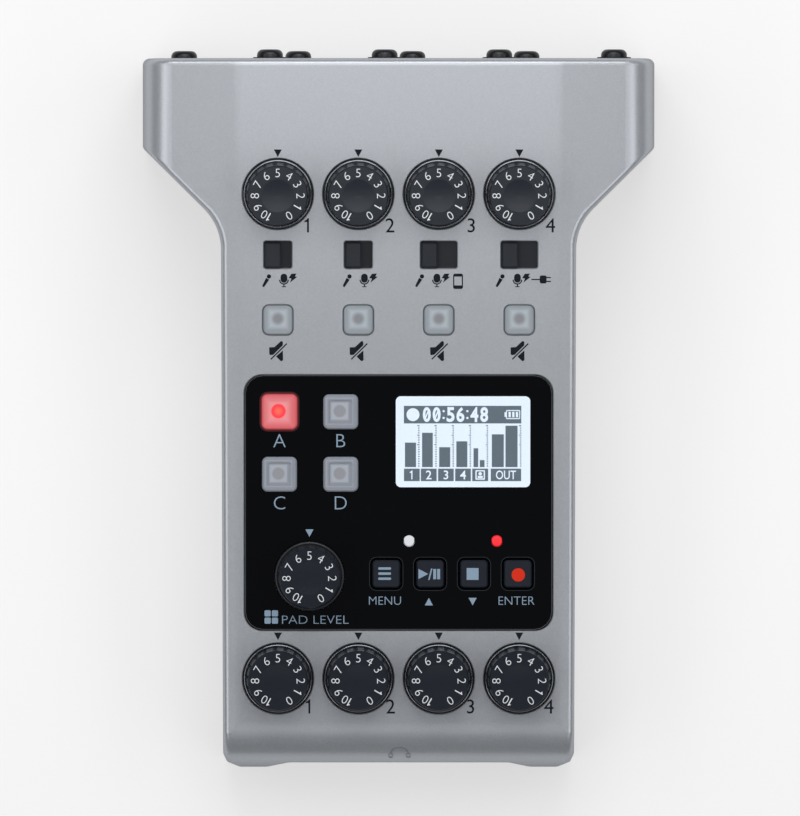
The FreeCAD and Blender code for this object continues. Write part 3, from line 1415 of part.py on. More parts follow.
def left_side_cuts():
    """Openings in the left wall for its three sockets and the power slider."""
    start = (-side_x(PHONE_JACK_Y) - OVERCUT, PHONE_JACK_Y, phone_jack_height())
    cuts = [rod(NOSE_RADIUS + FIT, start, WALL + 3 * OVERCUT, (1, 0, 0))]
    for y in (USB_AUDIO_Y, USB_POWER_Y):
        hole = rounded_slot(USB_WIDTH + 2 * FIT, USB_HEIGHT + 2 * FIT, 0, WALL + 3 * OVERCUT)
        cuts.append(facing_left(hole, -side_x(y) + WALL + OVERCUT, y, usb_height()))
    outside = -side_x(POWER_SWITCH_Y)
    length = POWER_CAP_LENGTH + POWER_TRAVEL + 2 * POWER_DISH_ROOM[0]
    height = POWER_CAP_HEIGHT + 2 * POWER_DISH_ROOM[1]
    dish = rounded_box(length, height, POWER_DISH_CORNER, 0, 0, 0, POWER_DISH_DEPTH + OVERCUT)
    middle = POWER_SWITCH_Y + POWER_TRAVEL / 2
    cuts.append(facing_left(dish, outside + POWER_DISH_DEPTH, middle, power_switch_height()))
    cuts.append(neck_box(outside - OVERCUT, outside + WALL + OVERCUT, FIT, POWER_TRAVEL))
    return cuts


def front_bay_cuts():
    """Shallow bay in the front wall and the holes for the headphone sockets."""
    face = front_bay_face()
    low = (-FRONT_BAY_HALF_WIDTH, FRONT_Y - OVERCUT, FRONT_BAY_BOTTOM)
    bay = box(low, (FRONT_BAY_HALF_WIDTH, face, FRONT_BAY_TOP))
    cuts = [bay.makeFillet(FRONT_BAY_CORNER, [edge for edge in bay.Edges if is_along_y(edge)])]
    for x in COLUMNS:
        start = (x, FRONT_Y - OVERCUT, headphone_socket_height())
        cuts.append(rod(NOSE_RADIUS + FIT, start, FRONT_BAY_DEPTH + WALL + 2 * OVERCUT, (0, 1, 0)))
    return cuts


def is_along_y(edge):
    """True for an edge that runs from front to rear."""
    first = edge.Vertexes[0].Point
    last = edge.Vertexes[-1].Point
    return math.hypot(first.x - last.x, first.z - last.z) < TOUCH


def ring_below_seam(outside, inside, top):
    """Ring between two case blocks, from a wall's depth under the seam up to a height over it."""
    ring = below_seam(above_seam(outside.cut(inside), -WALL), top)
    return ring.cut(box((-REACH, REAR_Y - 3 * WALL, 0), (REACH, REACH, REACH)))


def lower_inside(outer, inner, lip_outer, lip_inner):
    """Lip, battery bay, pads, screw towers and board posts of the lower shell."""
    lip = ring_below_seam(lip_outer, lip_inner, LIP_HEIGHT)
    lip = lip.cut([disc(BOSS_RADIUS + FIT, x, y, 0, REACH) for x, y in BOSS_PLACES])
    half_x, half_y = door_reach()
    front, rear = both_ways(BAY_Y, half_y)
    bay = box((-half_x, front, CASE_BOTTOM), (half_x, rear, BAY_TOP + BAY_ROOF))
    left, right = both_ways(0.0, FRONT_BAY_HALF_WIDTH + WALL)
    pad_rear = front_wall_inside() - FIT
    pad_low = (left, FRONT_Y, CASE_BOTTOM + FRONT_PAD_FOOT)
    front_pad = box(pad_low, (right, pad_rear, FRONT_BAY_TOP + FRONT_PAD_RISE))
    lip_root = ring_below_seam(inner, lip_inner, 0.0).cut(power_body_block(FIT / 2))
    inside = [lip, lip_root, bay]
    inside.append(below_seam(card_backing().common(outer)))
    inside.append(below_seam(front_pad.common(outer)))
    for x, y in BOSS_PLACES:
        tower = disc(TOWER_RADIUS, x, y, CASE_BOTTOM, REACH)
        inside.append(below_seam(tower.common(outer)))
    posts = [(place, MAIN_BOARD_HEIGHT) for place in MAIN_POSTS]
    posts += [(place, HEADPHONE_BOARD_HEIGHT) for place in HEADPHONE_POSTS]
    for (x, y), height in posts:
        inside.append(disc(LOWER_POST_RADIUS, x, y, CASE_BOTTOM + WALL / 2, height))
    return inside


def build_lower_case(outer, inner, shallow, lip_outer, lip_inner):
    """Dark lower shell: floor, battery bay, lip, posts, screw towers and every side opening."""
    shell = below_seam(outer.cut(inner))
    groove = below_seam(outer.cut(shallow)).cut(below_seam(outer, -SEAM_GROOVE))
    shell = shell.cut(groove).fuse(lower_inside(outer, inner, lip_outer, lip_inner))
    cuts = battery_bay_cuts() + card_opening_cuts() + left_side_cuts() + front_bay_cuts()
    for x, y in BOSS_PLACES:
        cuts.append(disc(WELL_RADIUS, x, y, 0, seam_height(y) - WELL_COVER))
        cuts.append(disc(CASE_SCREW_RADIUS + CASE_SCREW_ROOM, x, y, 0, REACH))
    for x, y in FOOT_PLACES:
        cuts.append(disc(FOOT_RADIUS + FIT, x, y, 0, CASE_BOTTOM + FOOT_RECESS))
    cuts.append(rear_opening(0.0, REAR_Y - WALL - OVERCUT, REAR_Y + OVERCUT))
    return shell.cut(cuts).removeSplitter()


def build_case_screws():
    """Five screws from the underside, up the lower shell's wells into the upper bosses."""
    screws = []
    for x, y in BOSS_PLACES:
        seat = seam_height(y) - WELL_COVER
        tip = seam_height(y) + CASE_SCREW_REACH
        head = disc(CASE_SCREW_HEAD_RADIUS, x, y, seat - CASE_SCREW_HEAD_HEIGHT, seat)
        screws.append(head.fuse(disc(CASE_SCREW_RADIUS, x, y, seat, tip)))
    return Part.makeCompound(screws)


def build_feet():
    """Four round rubber feet in shallow recesses of the underside."""
    feet = []
    for x, y in FOOT_PLACES:
        foot = disc(FOOT_RADIUS, x, y, 0, CASE_BOTTOM + FOOT_RECESS)
        sole = [edge for edge in foot.Edges if middle_of(edge).z < TOUCH]
        feet.append(foot.makeChamfer(FOOT_CHAMFER, sole))
    return Part.makeCompound(feet)


def build_all():
    """Every sub-part of the recorder, by name."""
    outer = case_block(0)
    inner = case_block(WALL)
    shallow = case_block(SEAM_GROOVE)
    lip_outer = case_block(WALL + FIT)
    lip_inner = case_block(WALL + FIT + LIP_THICKNESS)
    nodes = {
        "upper_case": build_upper_case(outer, inner),
        "lower_case": build_lower_case(outer, inner, shallow, lip_outer, lip_inner),
        "display_panel": build_display_panel(),
        "lcd_window": build_window(),
        "lcd_module": build_lcd_module(),
        "light_pipes": build_light_pipes(),
        "rear_jack_plate": build_rear_plate(lip_outer),
        "xlr_inserts": build_inserts(),
        "xlr_contacts": build_socket_contacts(),
        "xlr_screws": build_socket_screws(),
        "xlr_board": build_socket_board(),
        "control_board": build_control_board(),
        "main_board": build_main_board(),
        "headphone_board": build_headphone_board(),
        "level_pots": build_pots(),
        "slide_switch_bodies": build_slide_bodies(),
        "tact_switches": build_tact_switches(),
        "headphone_jacks": build_headphone_jacks(),
        "phone_jack": build_phone_jack(),
        "usb_ports": build_usb_ports(),
        "power_switch_body": build_power_switch_body(),
        "power_switch": build_power_switch(),
        "card_slot": build_card_slot(),
        "memory_card": build_memory_card(),
        "card_cover": build_card_cover(),
        "battery_cells": build_battery_cells(),
        "battery_contacts": build_battery_contacts(),
        "battery_cover": build_battery_cover(),
        "case_screws": build_case_screws(),
        "rubber_feet": build_feet(),
    }
    for number, x in enumerate(SOCKET_COLUMNS, start=1):
        nodes[f"xlr_jack_{number}"] = build_socket(x)
    knob = build_knob()
    for name, x, y in knob_places():
        placed = knob.copy()
        placed.translate(Vector(x, y, 0))
        nodes[name] = on_panel(placed)
    for number, (x, travel) in enumerate(zip(COLUMNS, TRAVELS), start=1):
        nodes[f"input_switch_{number}"] = build_slider(x, travel)
    for name, x, y in mute_places():
        nodes[name] = build_button(MUTE_WIDTH, MUTE_CORNER, MUTE_STAND, WALL, x, y)
    ceiling = DISPLAY_THICKNESS + DISPLAY_FLOOR
    for name, x, y in pad_places():
        nodes[name] = build_button(PAD_WIDTH, PAD_CORNER, PAD_STAND, ceiling, x, y, PAD_RIM)
    for name, x, y in key_places():
        nodes[name] = build_button(KEY_WIDTH, KEY_CORNER, KEY_STAND, ceiling, x, y)
    return nodes


def main():
    """Write each sub-part to its own STEP file and print its solids."""
    os.makedirs("parts", exist_ok=True)
    for name, shape in build_all().items():
        shape.exportStep(f"parts/{name}.step")
        print(name, len(shape.Solids), "solids, valid" if shape.isValid() else "solids, NOT valid")


main()
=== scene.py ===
"""Looks of a podcast recorder: its finishes, printing, lit display, screws and the studio.

Sizes in the classes are millimetres, and every piece is modelled in millimetres round its own
middle. settle() carries it to its place on the recorder and turns it into metres.
"""
import json
import logging
import math
from dataclasses import dataclass, replace
from enum import Enum

import bpy
from mathutils import Matrix, Vector


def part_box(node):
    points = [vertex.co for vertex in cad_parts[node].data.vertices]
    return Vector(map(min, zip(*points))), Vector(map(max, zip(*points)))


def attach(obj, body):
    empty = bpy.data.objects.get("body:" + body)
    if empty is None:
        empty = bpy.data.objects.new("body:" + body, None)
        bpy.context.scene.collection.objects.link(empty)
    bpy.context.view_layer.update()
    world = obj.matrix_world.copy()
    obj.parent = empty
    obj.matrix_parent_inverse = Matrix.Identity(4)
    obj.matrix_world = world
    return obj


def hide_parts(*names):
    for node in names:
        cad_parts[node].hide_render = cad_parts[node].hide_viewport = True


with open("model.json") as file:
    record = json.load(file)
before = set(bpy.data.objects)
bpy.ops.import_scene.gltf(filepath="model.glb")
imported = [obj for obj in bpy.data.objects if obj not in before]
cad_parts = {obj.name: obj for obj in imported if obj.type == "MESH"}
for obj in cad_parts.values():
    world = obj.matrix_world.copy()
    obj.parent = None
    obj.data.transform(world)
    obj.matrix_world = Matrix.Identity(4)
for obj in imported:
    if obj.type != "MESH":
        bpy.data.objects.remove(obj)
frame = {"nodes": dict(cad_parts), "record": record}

LOG = logging.getLogger("podcast_recorder")
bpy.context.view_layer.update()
SHADER = "Principled BSDF"
RECORDER = "recorder"
MM = 0.001
PRINT_THICKNESS = 0.02
CORNERS = ((1, 1), (-1, 1), (-1, -1), (1, -1))

# Places on the recorder that the printing, the lamps and the screws share
COLUMNS = (-26.4, -8.8, 8.8, 26.4)
SOCKET_COLUMNS = (-37.65, -12.55, 12.55, 37.65)
INPUT_ROW = 47.05
MUTE_ROW = 19.4
HEADPHONE_ROW = -59.3
SOUND_KNOB = (-19.5, -36.8)
PAD_COLUMNS = (-26.05, -12.65)
PAD_ROWS = (-0.7, -14.4)
KEY_COLUMNS = (-2.7, 6.9, 16.5, 26.1)
KEY_ROW = -36.3
KEY_NAMES = ("menu_key", "play_pause_key", "stop_key", "record_key")
WINDOW = (14.1, -7.3)
LAMPS = ((2.3, -29.1), (21.5, -29.1))

Piece = bpy.types.Object
Tree = bpy.types.NodeTree
Node = bpy.types.Node
Socket = bpy.types.NodeSocket
Points = list[tuple[float, float]]


class Panel:
    """The sloping top panel, whose places are given across, along and above it."""

    TILT = math.radians(4.5)
    HEIGHT = 36.8

    @classmethod
    def at(cls, across: float = 0.0, along: float = 0.0, above: float = 0.0) -> Matrix:
        """Gives the matrix from a piece's own millimetres to its place in metres.

        Args:
            across: Distance to the right of the middle, in millimetres.
            along: Distance up the panel, towards the rear.
            above: Height over the panel's skin.

        Returns:
            The matrix that settle() takes.
        """
        stand = Matrix.Translation((0.0, 0.0, cls.HEIGHT)) @ Matrix.Rotation(cls.TILT, 4, "X")
        return Matrix.Scale(MM, 4) @ stand @ Matrix.Translation((across, along, above))


def linear_colour(code: str, share: float = 1.0) -> tuple[float, float, float, float]:
    """Turns an sRGB hex colour into the linear one that shaders take.

    Args:
        code: Colour such as "#B4B8BC".
        share: How much of its light is given.

    Returns:
        Red, green, blue and an alpha of one.
    """
    levels = [int(code[start:start + 2], 16) / 255 for start in (1, 3, 5)]
    linear = [level / 12.92 if level <= 0.04045 else ((level + 0.055) / 1.055) ** 2.4 for level in levels]
    return (linear[0] * share, linear[1] * share, linear[2] * share, 1.0)


def adjust(node: Node, settings: dict) -> None:
    """Sets the values of a shader node.

    Args:
        node: The node.
        settings: Values by the node's own setting, or by its input's name or number.
    """
    for name, value in settings.items():
        if isinstance(name, str) and hasattr(node, name):
            setattr(node, name, value)
        else:
            node.inputs[name].default_value = value


def add_node(tree: Tree, kind: str, settings: dict, links: dict | None = None) -> Node:
    """Adds one shader node with its settings and links.

    Args:
        tree: Node tree that takes the node.
        kind: Blender's name for the kind of node.
        settings: Its values, as adjust() takes them.
        links: Output sockets by the name or number of the input that they feed.

    Returns:
        The new node.
    """
    node = tree.nodes.new(kind)
    adjust(node, settings)
    for name, socket in (links or {}).items():
        tree.links.new(socket, node.inputs[name])
    return node


def feed(tree: Tree, name: str, socket: Socket) -> None:
    """Links a socket to one input of the material's main shader."""
    tree.links.new(socket, tree.nodes[SHADER].inputs[name])


class Texture(Enum):
    """Patterns that the finishes are made of."""

    CLOUDS = "ShaderNodeTexNoise"
    FLAKES = "ShaderNodeTexVoronoi"


def pattern(tree: Tree, texture: Texture, size_mm: float, detail: float = 2.0) -> Node:
    """Adds a texture whose blotches or flakes are about one real size across.

    Args:
        tree: Node tree of the material.
        texture: Which pattern.
        size_mm: Width of one blotch or flake on the object.
        detail: Number of finer layers.

    Returns:
        The texture's node.
    """
    place = add_node(tree, "ShaderNodeTexCoord", {})
    settings = {"Scale": 1.0 / (size_mm * MM), "Detail": detail}
    return add_node(tree, texture.value, settings, {"Vector": place.outputs["Object"]})


@dataclass(frozen=True)
class Finish:
    """A finish by its maker's name and sRGB colour, with a fine grain that shades and raises it.

    The kinds below say what their grain is, and add the shader's other values.
    """

    name: str
    colour: str
    roughness: float = 0.5
    grain_mm: float = 0.35
    depth_mm: float = 0.006
    swing: float = 0.06
    detail: float = 2.0

    def values(self) -> dict:
        """Gives the main shader's other values, which are the same all over."""
        return {}

    def dress(self, tree: Tree) -> None:
        """Adds the grain, with its play of colour and its relief.

        Args:
            tree: Node tree of the material.
        """
        grain = pattern(tree, Texture.CLOUDS, self.grain_mm, self.detail)
        self.vary(tree, grain)
        if self.depth_mm:
            self.emboss(tree, grain)

    def material(self) -> bpy.types.Material:
        """Gives the material, made at its first use.

        Returns:
            The Blender material of this finish.
        """
        material = bpy.data.materials.get(self.name)
        if not material:
            material = bpy.data.materials.new(self.name)
            material.use_nodes = True
            plain = {"Base Color": linear_colour(self.colour), "Roughness": self.roughness}
            adjust(material.node_tree.nodes[SHADER], plain | self.values())
            self.dress(material.node_tree)
        return material

    def vary(self, tree: Tree, texture: Node) -> None:
        """Lets a texture lighten and darken the colour and move the roughness with it.

        Args:
            tree: Node tree of the material.
            texture: Node whose first output runs from 0 to 1.
        """
        low, high = linear_colour(self.colour, 1 - self.swing), linear_colour(self.colour, 1 + self.swing)
        settings = {"data_type": "RGBA", 6: low, 7: high}
        blend = add_node(tree, "ShaderNodeMix", settings, {0: texture.outputs[0]})
        feed(tree, "Base Color", blend.outputs[2])
        smooth, rough = self.roughness * 0.92, self.roughness * 1.08
        settings = {"From Min": 0.2, "From Max": 0.8, "To Min": smooth, "To Max": rough}
        spread = add_node(tree, "ShaderNodeMapRange", settings, {"Value": texture.outputs[0]})
        feed(tree, "Roughness", spread.outputs[0])

    def emboss(self, tree: Tree, texture: Node) -> None:
        """Raises the surface by a texture, as high as the finish's depth.

        Args:
            tree: Node tree of the material.
            texture: Node whose first output is the height from 0 to 1.
        """
        settings = {"Strength": 1.0, "Distance": self.depth_mm * MM}
        bump = add_node(tree, "ShaderNodeBump", settings, {"Height": texture.outputs[0]})
        feed(tree, "Normal", bump.outputs["Normal"])


@dataclass(frozen=True)
class MouldedPlastic(Finish):
    """Injection-moulded ABS or nylon. The spark-eroded mould leaves an even grain that dulls highlights."""


@dataclass(frozen=True)
class GlossPlastic(Finish):
    """Polished acrylic or ABS. A sharp reflection with a faint waviness from moulding."""

    grain_mm: float = 9.0
    depth_mm: float = 0.004
    swing: float = 0.1
    detail: float = 1.0


@dataclass(frozen=True)
class FlakePaint(Finish):
    """Sprayed silver paint: aluminium flakes under a satin clear coat, a soft sheen with a fine sparkle."""

    grain_mm: float = 0.22
    depth_mm: float = 0.004
    swing: float = 0.045
    peel_mm: float = 0.6
    flop: str = "#5A5C60"
    metallic: float = 0.5

    def values(self) -> dict:
        """Adds the metal's share, the clear coat and the darker flop at a low angle."""
        coat = {"Coat Weight": 0.15, "Coat Roughness": 0.35}
        return coat | {"Metallic": self.metallic, "Specular Tint": linear_colour(self.flop)}

    def dress(self, tree: Tree) -> None:
        """Adds the flakes, drawn coarser than real ones so that they show, and the spray's orange peel.

        Args:
            tree: Node tree of the material.
        """
        flakes = pattern(tree, Texture.FLAKES, self.grain_mm, 0.0)
        self.vary(tree, add_node(tree, "ShaderNodeSeparateColor", {}, {0: flakes.outputs["Color"]}))
        self.emboss(tree, pattern(tree, Texture.CLOUDS, self.peel_mm))


@dataclass(frozen=True)
class Metal(Finish):
    """Plated or drawn metal. Fine draw lines break up its reflections."""

    grain_mm: float = 0.12
    depth_mm: float = 0.002
    swing: float = 0.07

    def values(self) -> dict:
        """Makes the surface bare metal."""
        return {"Metallic": 1.0}


@dataclass(frozen=True)
class SoftRubber(Finish):
    """Soft-touch rubber with a fine tooth. It is matte, with a dusty sheen at a low angle."""

    grain_mm: float = 0.25
    swing: float = 0.08
    sheen: float = 0.06

    def values(self) -> dict:
        """Adds the dusty sheen."""
        return {"Sheen Weight": self.sheen, "Sheen Roughness": 0.4}


@dataclass(frozen=True)
class PrintedInk(Finish):
    """Pad-printed ink. It is thin and matte, with a slightly patchy film."""

    grain_mm: float = 0.3
    depth_mm: float = 0.0

    def values(self) -> dict:
        """Keeps the film's shine low."""
        return {"Specular IOR Level": 0.15}


@dataclass(frozen=True)
class ClearAcrylic(Finish):
    """Clear cast acrylic. Nearly invisible from above, with a sharp reflection at a low angle."""

    grain_mm: float = 6.0
    haze: float = 0.04

    def values(self) -> dict:
        """Lets light through, bent as acrylic bends it."""
        return {"Transmission Weight": 1.0, "IOR": 1.49}

    def dress(self, tree: Tree) -> None:
        """Adds the faint haze of a wiped window.

        Args:
            tree: Node tree of the material.
        """
        wiped = {"Value": pattern(tree, Texture.CLOUDS, self.grain_mm).outputs[0]}
        haze = add_node(tree, "ShaderNodeMapRange", {"To Max": self.haze}, wiped)
        feed(tree, "Roughness", haze.outputs[0])


@dataclass(frozen=True)
class Lit(Finish):
    """A surface that glows, such as backlit glass or a lamp's diffuser, with a backlight's unevenness."""

    grain_mm: float = 8.0
    swing: float = 0.03
    detail: float = 1.0
    strength: float = 1.0
    base: str = "#101214"

    def values(self) -> dict:
        """Adds the glow over the colour that the surface has unlit."""
        return {"Emission Strength": self.strength, "Base Color": linear_colour(self.base)}

    def dress(self, tree: Tree) -> None:
        """Adds the colour of the light, a little uneven.

        Args:
            tree: Node tree of the material.
        """
        patch = pattern(tree, Texture.CLOUDS, self.grain_mm, self.detail)
        low, high = linear_colour(self.colour, 1 - self.swing), linear_colour(self.colour)
        settings = {"data_type": "RGBA", 6: low, 7: high}
        light = add_node(tree, "ShaderNodeMix", settings, {0: patch.outputs[0]})
        feed(tree, "Emission Color", light.outputs[2])


def inside(tree: Tree, distance: Socket, reach_mm: float, blur_mm: float) -> Socket:
    """Gives a soft-edged mask that is one inside a reach.

    Args:
        tree: Node tree of the material.
        distance: Distance from the shape's middle, in metres.
        reach_mm: Half width of the shape.
        blur_mm: Width over which its edge fades.

    Returns:
        The mask's socket.
    """
    start, end = (reach_mm - blur_mm / 2) * MM, (reach_mm + blur_mm / 2) * MM
    settings = {"interpolation_type": "SMOOTHSTEP", "From Min": start, "From Max": end}
    settings |= {"To Min": 1.0, "To Max": 0.0}
    return add_node(tree, "ShaderNodeMapRange", settings, {"Value": distance}).outputs[0]


@dataclass(frozen=True)
class FrostedButton(Finish):
    """Frosted silicone rubber over a lamp: the light well and the round lamp show through it, blurred."""

    grain_mm: float = 0.5
    depth_mm: float = 0.004
    well: str = "#BFC6CE"
    lamp: str = "#878A95"
    core: str = ""
    across: float = 0.0
    along: float = 0.0
    well_mm: float = 1.9
    lamp_mm: float = 1.35
    core_mm: float = 0.75
    # A lighter square line near the edge, in the well's colour, is a painted highlight of the top's bevel
    ridge_mm: float = 0.0
    ridge_line_mm: float = 0.16
    blur_mm: float = 0.5
    lamp_blur_mm: float = 0.5
    core_blur_mm: float = 1.4
    ridge_blur_mm: float = 0.4
    glow: float = 0.0

    def values(self) -> dict:
        """Lets some light into the rubber, and adds the lit one's glow."""
        return {"Subsurface Weight": 0.2, "Subsurface Scale": 0.5 * MM, "Emission Strength": self.glow}

    def layers(self, tree: Tree) -> list[tuple[str, Socket]]:
        """Lists the frosted top's layers: the well, the lamp and its hot core that show through it, and a
        painted bevel highlight.

        Args:
            tree: Node tree of the material.

        Returns:
            Colours and the masks that lay them over each other.
        """
        flat = add_node(tree, "ShaderNodeTexCoord", {}).outputs["Object"]
        middle = Panel.at(self.across, self.along).translation
        for operation, by in (("SUBTRACT", middle), ("MULTIPLY", (1.0, 1.0, 0.0))):
            settings = {"operation": operation, 1: by}
            flat = add_node(tree, "ShaderNodeVectorMath", settings, {0: flat}).outputs[0]
        circle = add_node(tree, "ShaderNodeVectorMath", {"operation": "LENGTH"}, {0: flat}).outputs["Value"]
        size = add_node(tree, "ShaderNodeVectorMath", {"operation": "ABSOLUTE"}, {0: flat})
        axes = add_node(tree, "ShaderNodeSeparateXYZ", {}, {0: size.outputs[0]}).outputs
        longer = add_node(tree, "ShaderNodeMath", {"operation": "MAXIMUM"}, {0: axes[0], 1: axes[1]})
        square = longer.outputs[0]
        layers = [(self.well, inside(tree, square, self.well_mm, self.blur_mm))]
        # Painted highlight: a lighter line along the top's bevel
        if self.ridge_mm:
            half_line = self.ridge_line_mm / 2
            outer = inside(tree, square, self.ridge_mm + half_line, self.ridge_blur_mm)
            inner = inside(tree, square, self.ridge_mm - half_line, self.ridge_blur_mm)
            bevel_highlight = add_node(tree, "ShaderNodeMath", {"operation": "SUBTRACT"}, {0: outer, 1: inner})
            layers.append((self.well, bevel_highlight.outputs[0]))
        layers.append((self.lamp, inside(tree, circle, self.lamp_mm, self.lamp_blur_mm)))
        if self.core:
            layers.append((self.core, inside(tree, circle, self.core_mm, self.core_blur_mm)))
        return layers

    def dress(self, tree: Tree) -> None:
        """Lays the colours over each other, and adds the top's fine tooth.

        Args:
            tree: Node tree of the material.
        """
        below = None
        for colour, mask in self.layers(tree):
            settings = {"data_type": "RGBA", 6: linear_colour(self.colour), 7: linear_colour(colour)}
            links = {0: mask} if below is None else {0: mask, 6: below}
            below = add_node(tree, "ShaderNodeMix", settings, links).outputs[2]
        feed(tree, "Base Color", below)
        if self.glow:
            feed(tree, "Emission Color", below)
        self.emboss(tree, pattern(tree, Texture.CLOUDS, self.grain_mm))


BLACK_ABS = MouldedPlastic("black_moulded_abs", "#1C1D1F", 0.55)
NYLON = MouldedPlastic("black_glass_filled_nylon", "#161718", 0.5, 0.5)
SLIDER_CAP = MouldedPlastic("dark_grey_moulded_pom", "#23272E", 0.25, 0.3, 0.003)
BLACK_ZINC = Metal("black_zinc_plated_steel", "#3A3B3E", 0.38)
BLACK_CHROME = Metal("black_chromed_abs", "#84888E", 0.14)
DRAWN_SHELL = Metal("drawn_stainless_steel", "#B1B3B6", 0.3)
# Grey gloss for the line on the black panel's edge: a painted highlight of its chamfer
EDGE_HIGHLIGHT_GREY = GlossPlastic("painted_edge_highlight_grey", "#4C5055", 0.3)
# Dark grey gloss: the painted highlight lines round the key openings, and the pad knob's plain bead
OPENING_HIGHLIGHT_AND_PAD_BEAD = GlossPlastic("polished_opening_edge", "#282B30", 0.3)
# Darker than the shell's silver: painted shade that makes the raised headphone sign show
RELIEF_PAINT_DARKENED_AS_SHADE = FlakePaint("silver_paint_darkened_as_painted_shade", "#9DA1A7", 0.36)
DARK_INK = PrintedInk("dark_grey_pad_print", "#171D24", 0.8)
WHITE_INK = PrintedInk("white_pad_print", "#E4E8EC", 0.6)
BLUE_GREY_INK = PrintedInk("blue_grey_pad_print", "#8EA4B8", 0.6)
RED_INK = PrintedInk("red_pad_print", "#E03218", 0.55)
BACKLIGHT = Lit("backlit_display_glass", "#EAF4FE", strength=1.16)
DISPLAY_DARK = Lit("dark_display_segments", "#66737C")
WHITE_LAMP = Lit("white_lamp_diffuser", "#D6DADF", 0.4, base="#303234")
RED_LAMP = Lit("red_lamp_diffuser", "#FF2E38", 0.4, base="#400608")
NEAR_GLOW = Lit("red_light_at_pad_gap", "#6C040C", 0.9, strength=0.8)
FAR_GLOW = Lit("red_light_beside_pad_gap", "#300308", 0.9, strength=0.8)
MUTE_SILICONE = FrostedButton(
    "frosted_silicone",
    "#969EA5",
    well="#B3BCC3",
    lamp="#898C93",
    well_mm=2.0,
    lamp_mm=1.25,
    blur_mm=1.3,
    lamp_blur_mm=1.3,
)
# The pads' lighter square line is a painted highlight of the cap's bevel
PAD_SILICONE = FrostedButton("frosted_silicone", "#9096A1", well="#AEB4BE", lamp="#989AA1", ridge_mm=2.85)
LIT_SILICONE = FrostedButton(
    "lit_red_silicone",
    "#C2575D",
    well="#D28488",
    lamp="#F02C3C",
    core="#FF624C",
    well_mm=2.5,
    lamp_mm=1.6,
    blur_mm=2.4,
    glow=0.4,
)

FINISH_OF_SLOT = {
    "silver_paint": FlakePaint("sprayed_silver_paint", "#B9BDC3", 0.33),
    "black_case": BLACK_ABS,
    "black_gloss": GlossPlastic("polished_black_acrylic", "#050609", 0.08),
    "clear_lens": ClearAcrylic("clear_cast_acrylic", "#F4F8FC", 0.0),
    "lcd": MouldedPlastic("white_moulded_polycarbonate", "#D8DEE4", 0.4),
    "light_pipe": WHITE_LAMP,
    "rear_plate": BLACK_ABS,
    "socket_plastic": NYLON,
    "contact_metal": Metal("gold_plated_brass", "#C9A24A", 0.25),
    "screw_metal": BLACK_ZINC,
    "board_green": GlossPlastic("green_solder_mask", "#1B4D2E", 0.35, 4.0),
    "component_metal": Metal("tinned_steel", "#9C9FA3", 0.35),
    "jack_plastic": NYLON,
    "port_metal": DRAWN_SHELL,
    "slot_metal": DRAWN_SHELL,
    "card_blue": MouldedPlastic("dark_blue_moulded_abs", "#1B2A4A", 0.45),
    "cell_jacket": GlossPlastic("printed_cell_wrap", "#3C4046", 0.3, 5.0),
    "spring_metal": Metal("nickel_plated_spring_steel", "#BDBFC2", 0.22),
    "foot_rubber": SoftRubber("moulded_foot_rubber", "#191919", 0.8),
    "dark_screw": BLACK_ZINC,
    "knob_rubber": SoftRubber("soft_touch_knob_rubber", "#141C26", 0.3, sheen=0.02),
    "slider_cap": SLIDER_CAP,
    "key_black": MouldedPlastic("satin_black_moulded_abs", "#1A202A", 0.3, 0.3, 0.002),
    "switch_cap": SLIDER_CAP,
}


def clear_selection() -> None:
    """Leaves nothing selected, so that an operator acts on the new piece alone."""
    bpy.ops.object.select_all(action="DESELECT")


def plate(points: Points, band: float = 0.0) -> Piece:
    """Makes a plate of a print's thickness, whose outline runs through the points.

    Args:
        points: Corners in order, in millimetres.
        band: Width of the line where only the outline is wanted, or 0 for a full plate.

    Returns:
        The new piece, standing on the level plane.
    """
    clear_selection()
    bpy.ops.mesh.primitive_circle_add(vertices=len(points), radius=1.0, fill_type="NGON")
    piece = bpy.context.object
    for vertex, (x, y) in zip(piece.data.vertices, points):
        vertex.co = (x, y, 0.0)
    bpy.ops.object.mode_set(mode="EDIT")
    bpy.ops.mesh.select_all(action="SELECT")
    if band:
        bpy.ops.mesh.inset(thickness=band)
        bpy.ops.mesh.delete(type="FACE")
        bpy.ops.mesh.select_all(action="SELECT")
    bpy.ops.mesh.extrude_region_move(TRANSFORM_OT_translate={"value": (0.0, 0.0, PRINT_THICKNESS)})
    bpy.ops.mesh.select_all(action="SELECT")
    bpy.ops.mesh.normals_make_consistent(inside=False)
    bpy.ops.object.mode_set(mode="OBJECT")
    return piece


def raised(piece: Piece, thickness: float) -> Piece:
    """Gives a print another thickness, in millimetres."""
    piece.data.transform(Matrix.Diagonal((1.0, 1.0, thickness / PRINT_THICKNESS, 1.0)))
    return piece


def arc(radius: float, start: float, end: float, steps: int = 12, x: float = 0.0, y: float = 0.0) -> Points:
    """Gives the points of an arc round x and y, from one angle in degrees to another."""
    angles = [math.radians(start + (end - start) * step / steps) for step in range(steps + 1)]
    return [(x + radius * math.cos(angle), y + radius * math.sin(angle)) for angle in angles]


def rounded(width: float, depth: float, corner: float, x: float = 0.0, y: float = 0.0) -> Points:
    """Gives the outline of a rectangle with rounded corners.

    Args:
        width: Size across.
        depth: Size along.
        corner: Radius of the corners.
        x: Middle of the rectangle.
        y: Middle of the rectangle.

    Returns:
        The outline's points.
    """
    points = []
    half_x, half_y = width / 2 - corner, depth / 2 - corner
    for quarter, (side_x, side_y) in enumerate(CORNERS):
        points += arc(corner, 90 * quarter, 90 * quarter + 90, 4, x + side_x * half_x, y + side_y * half_y)
    return points


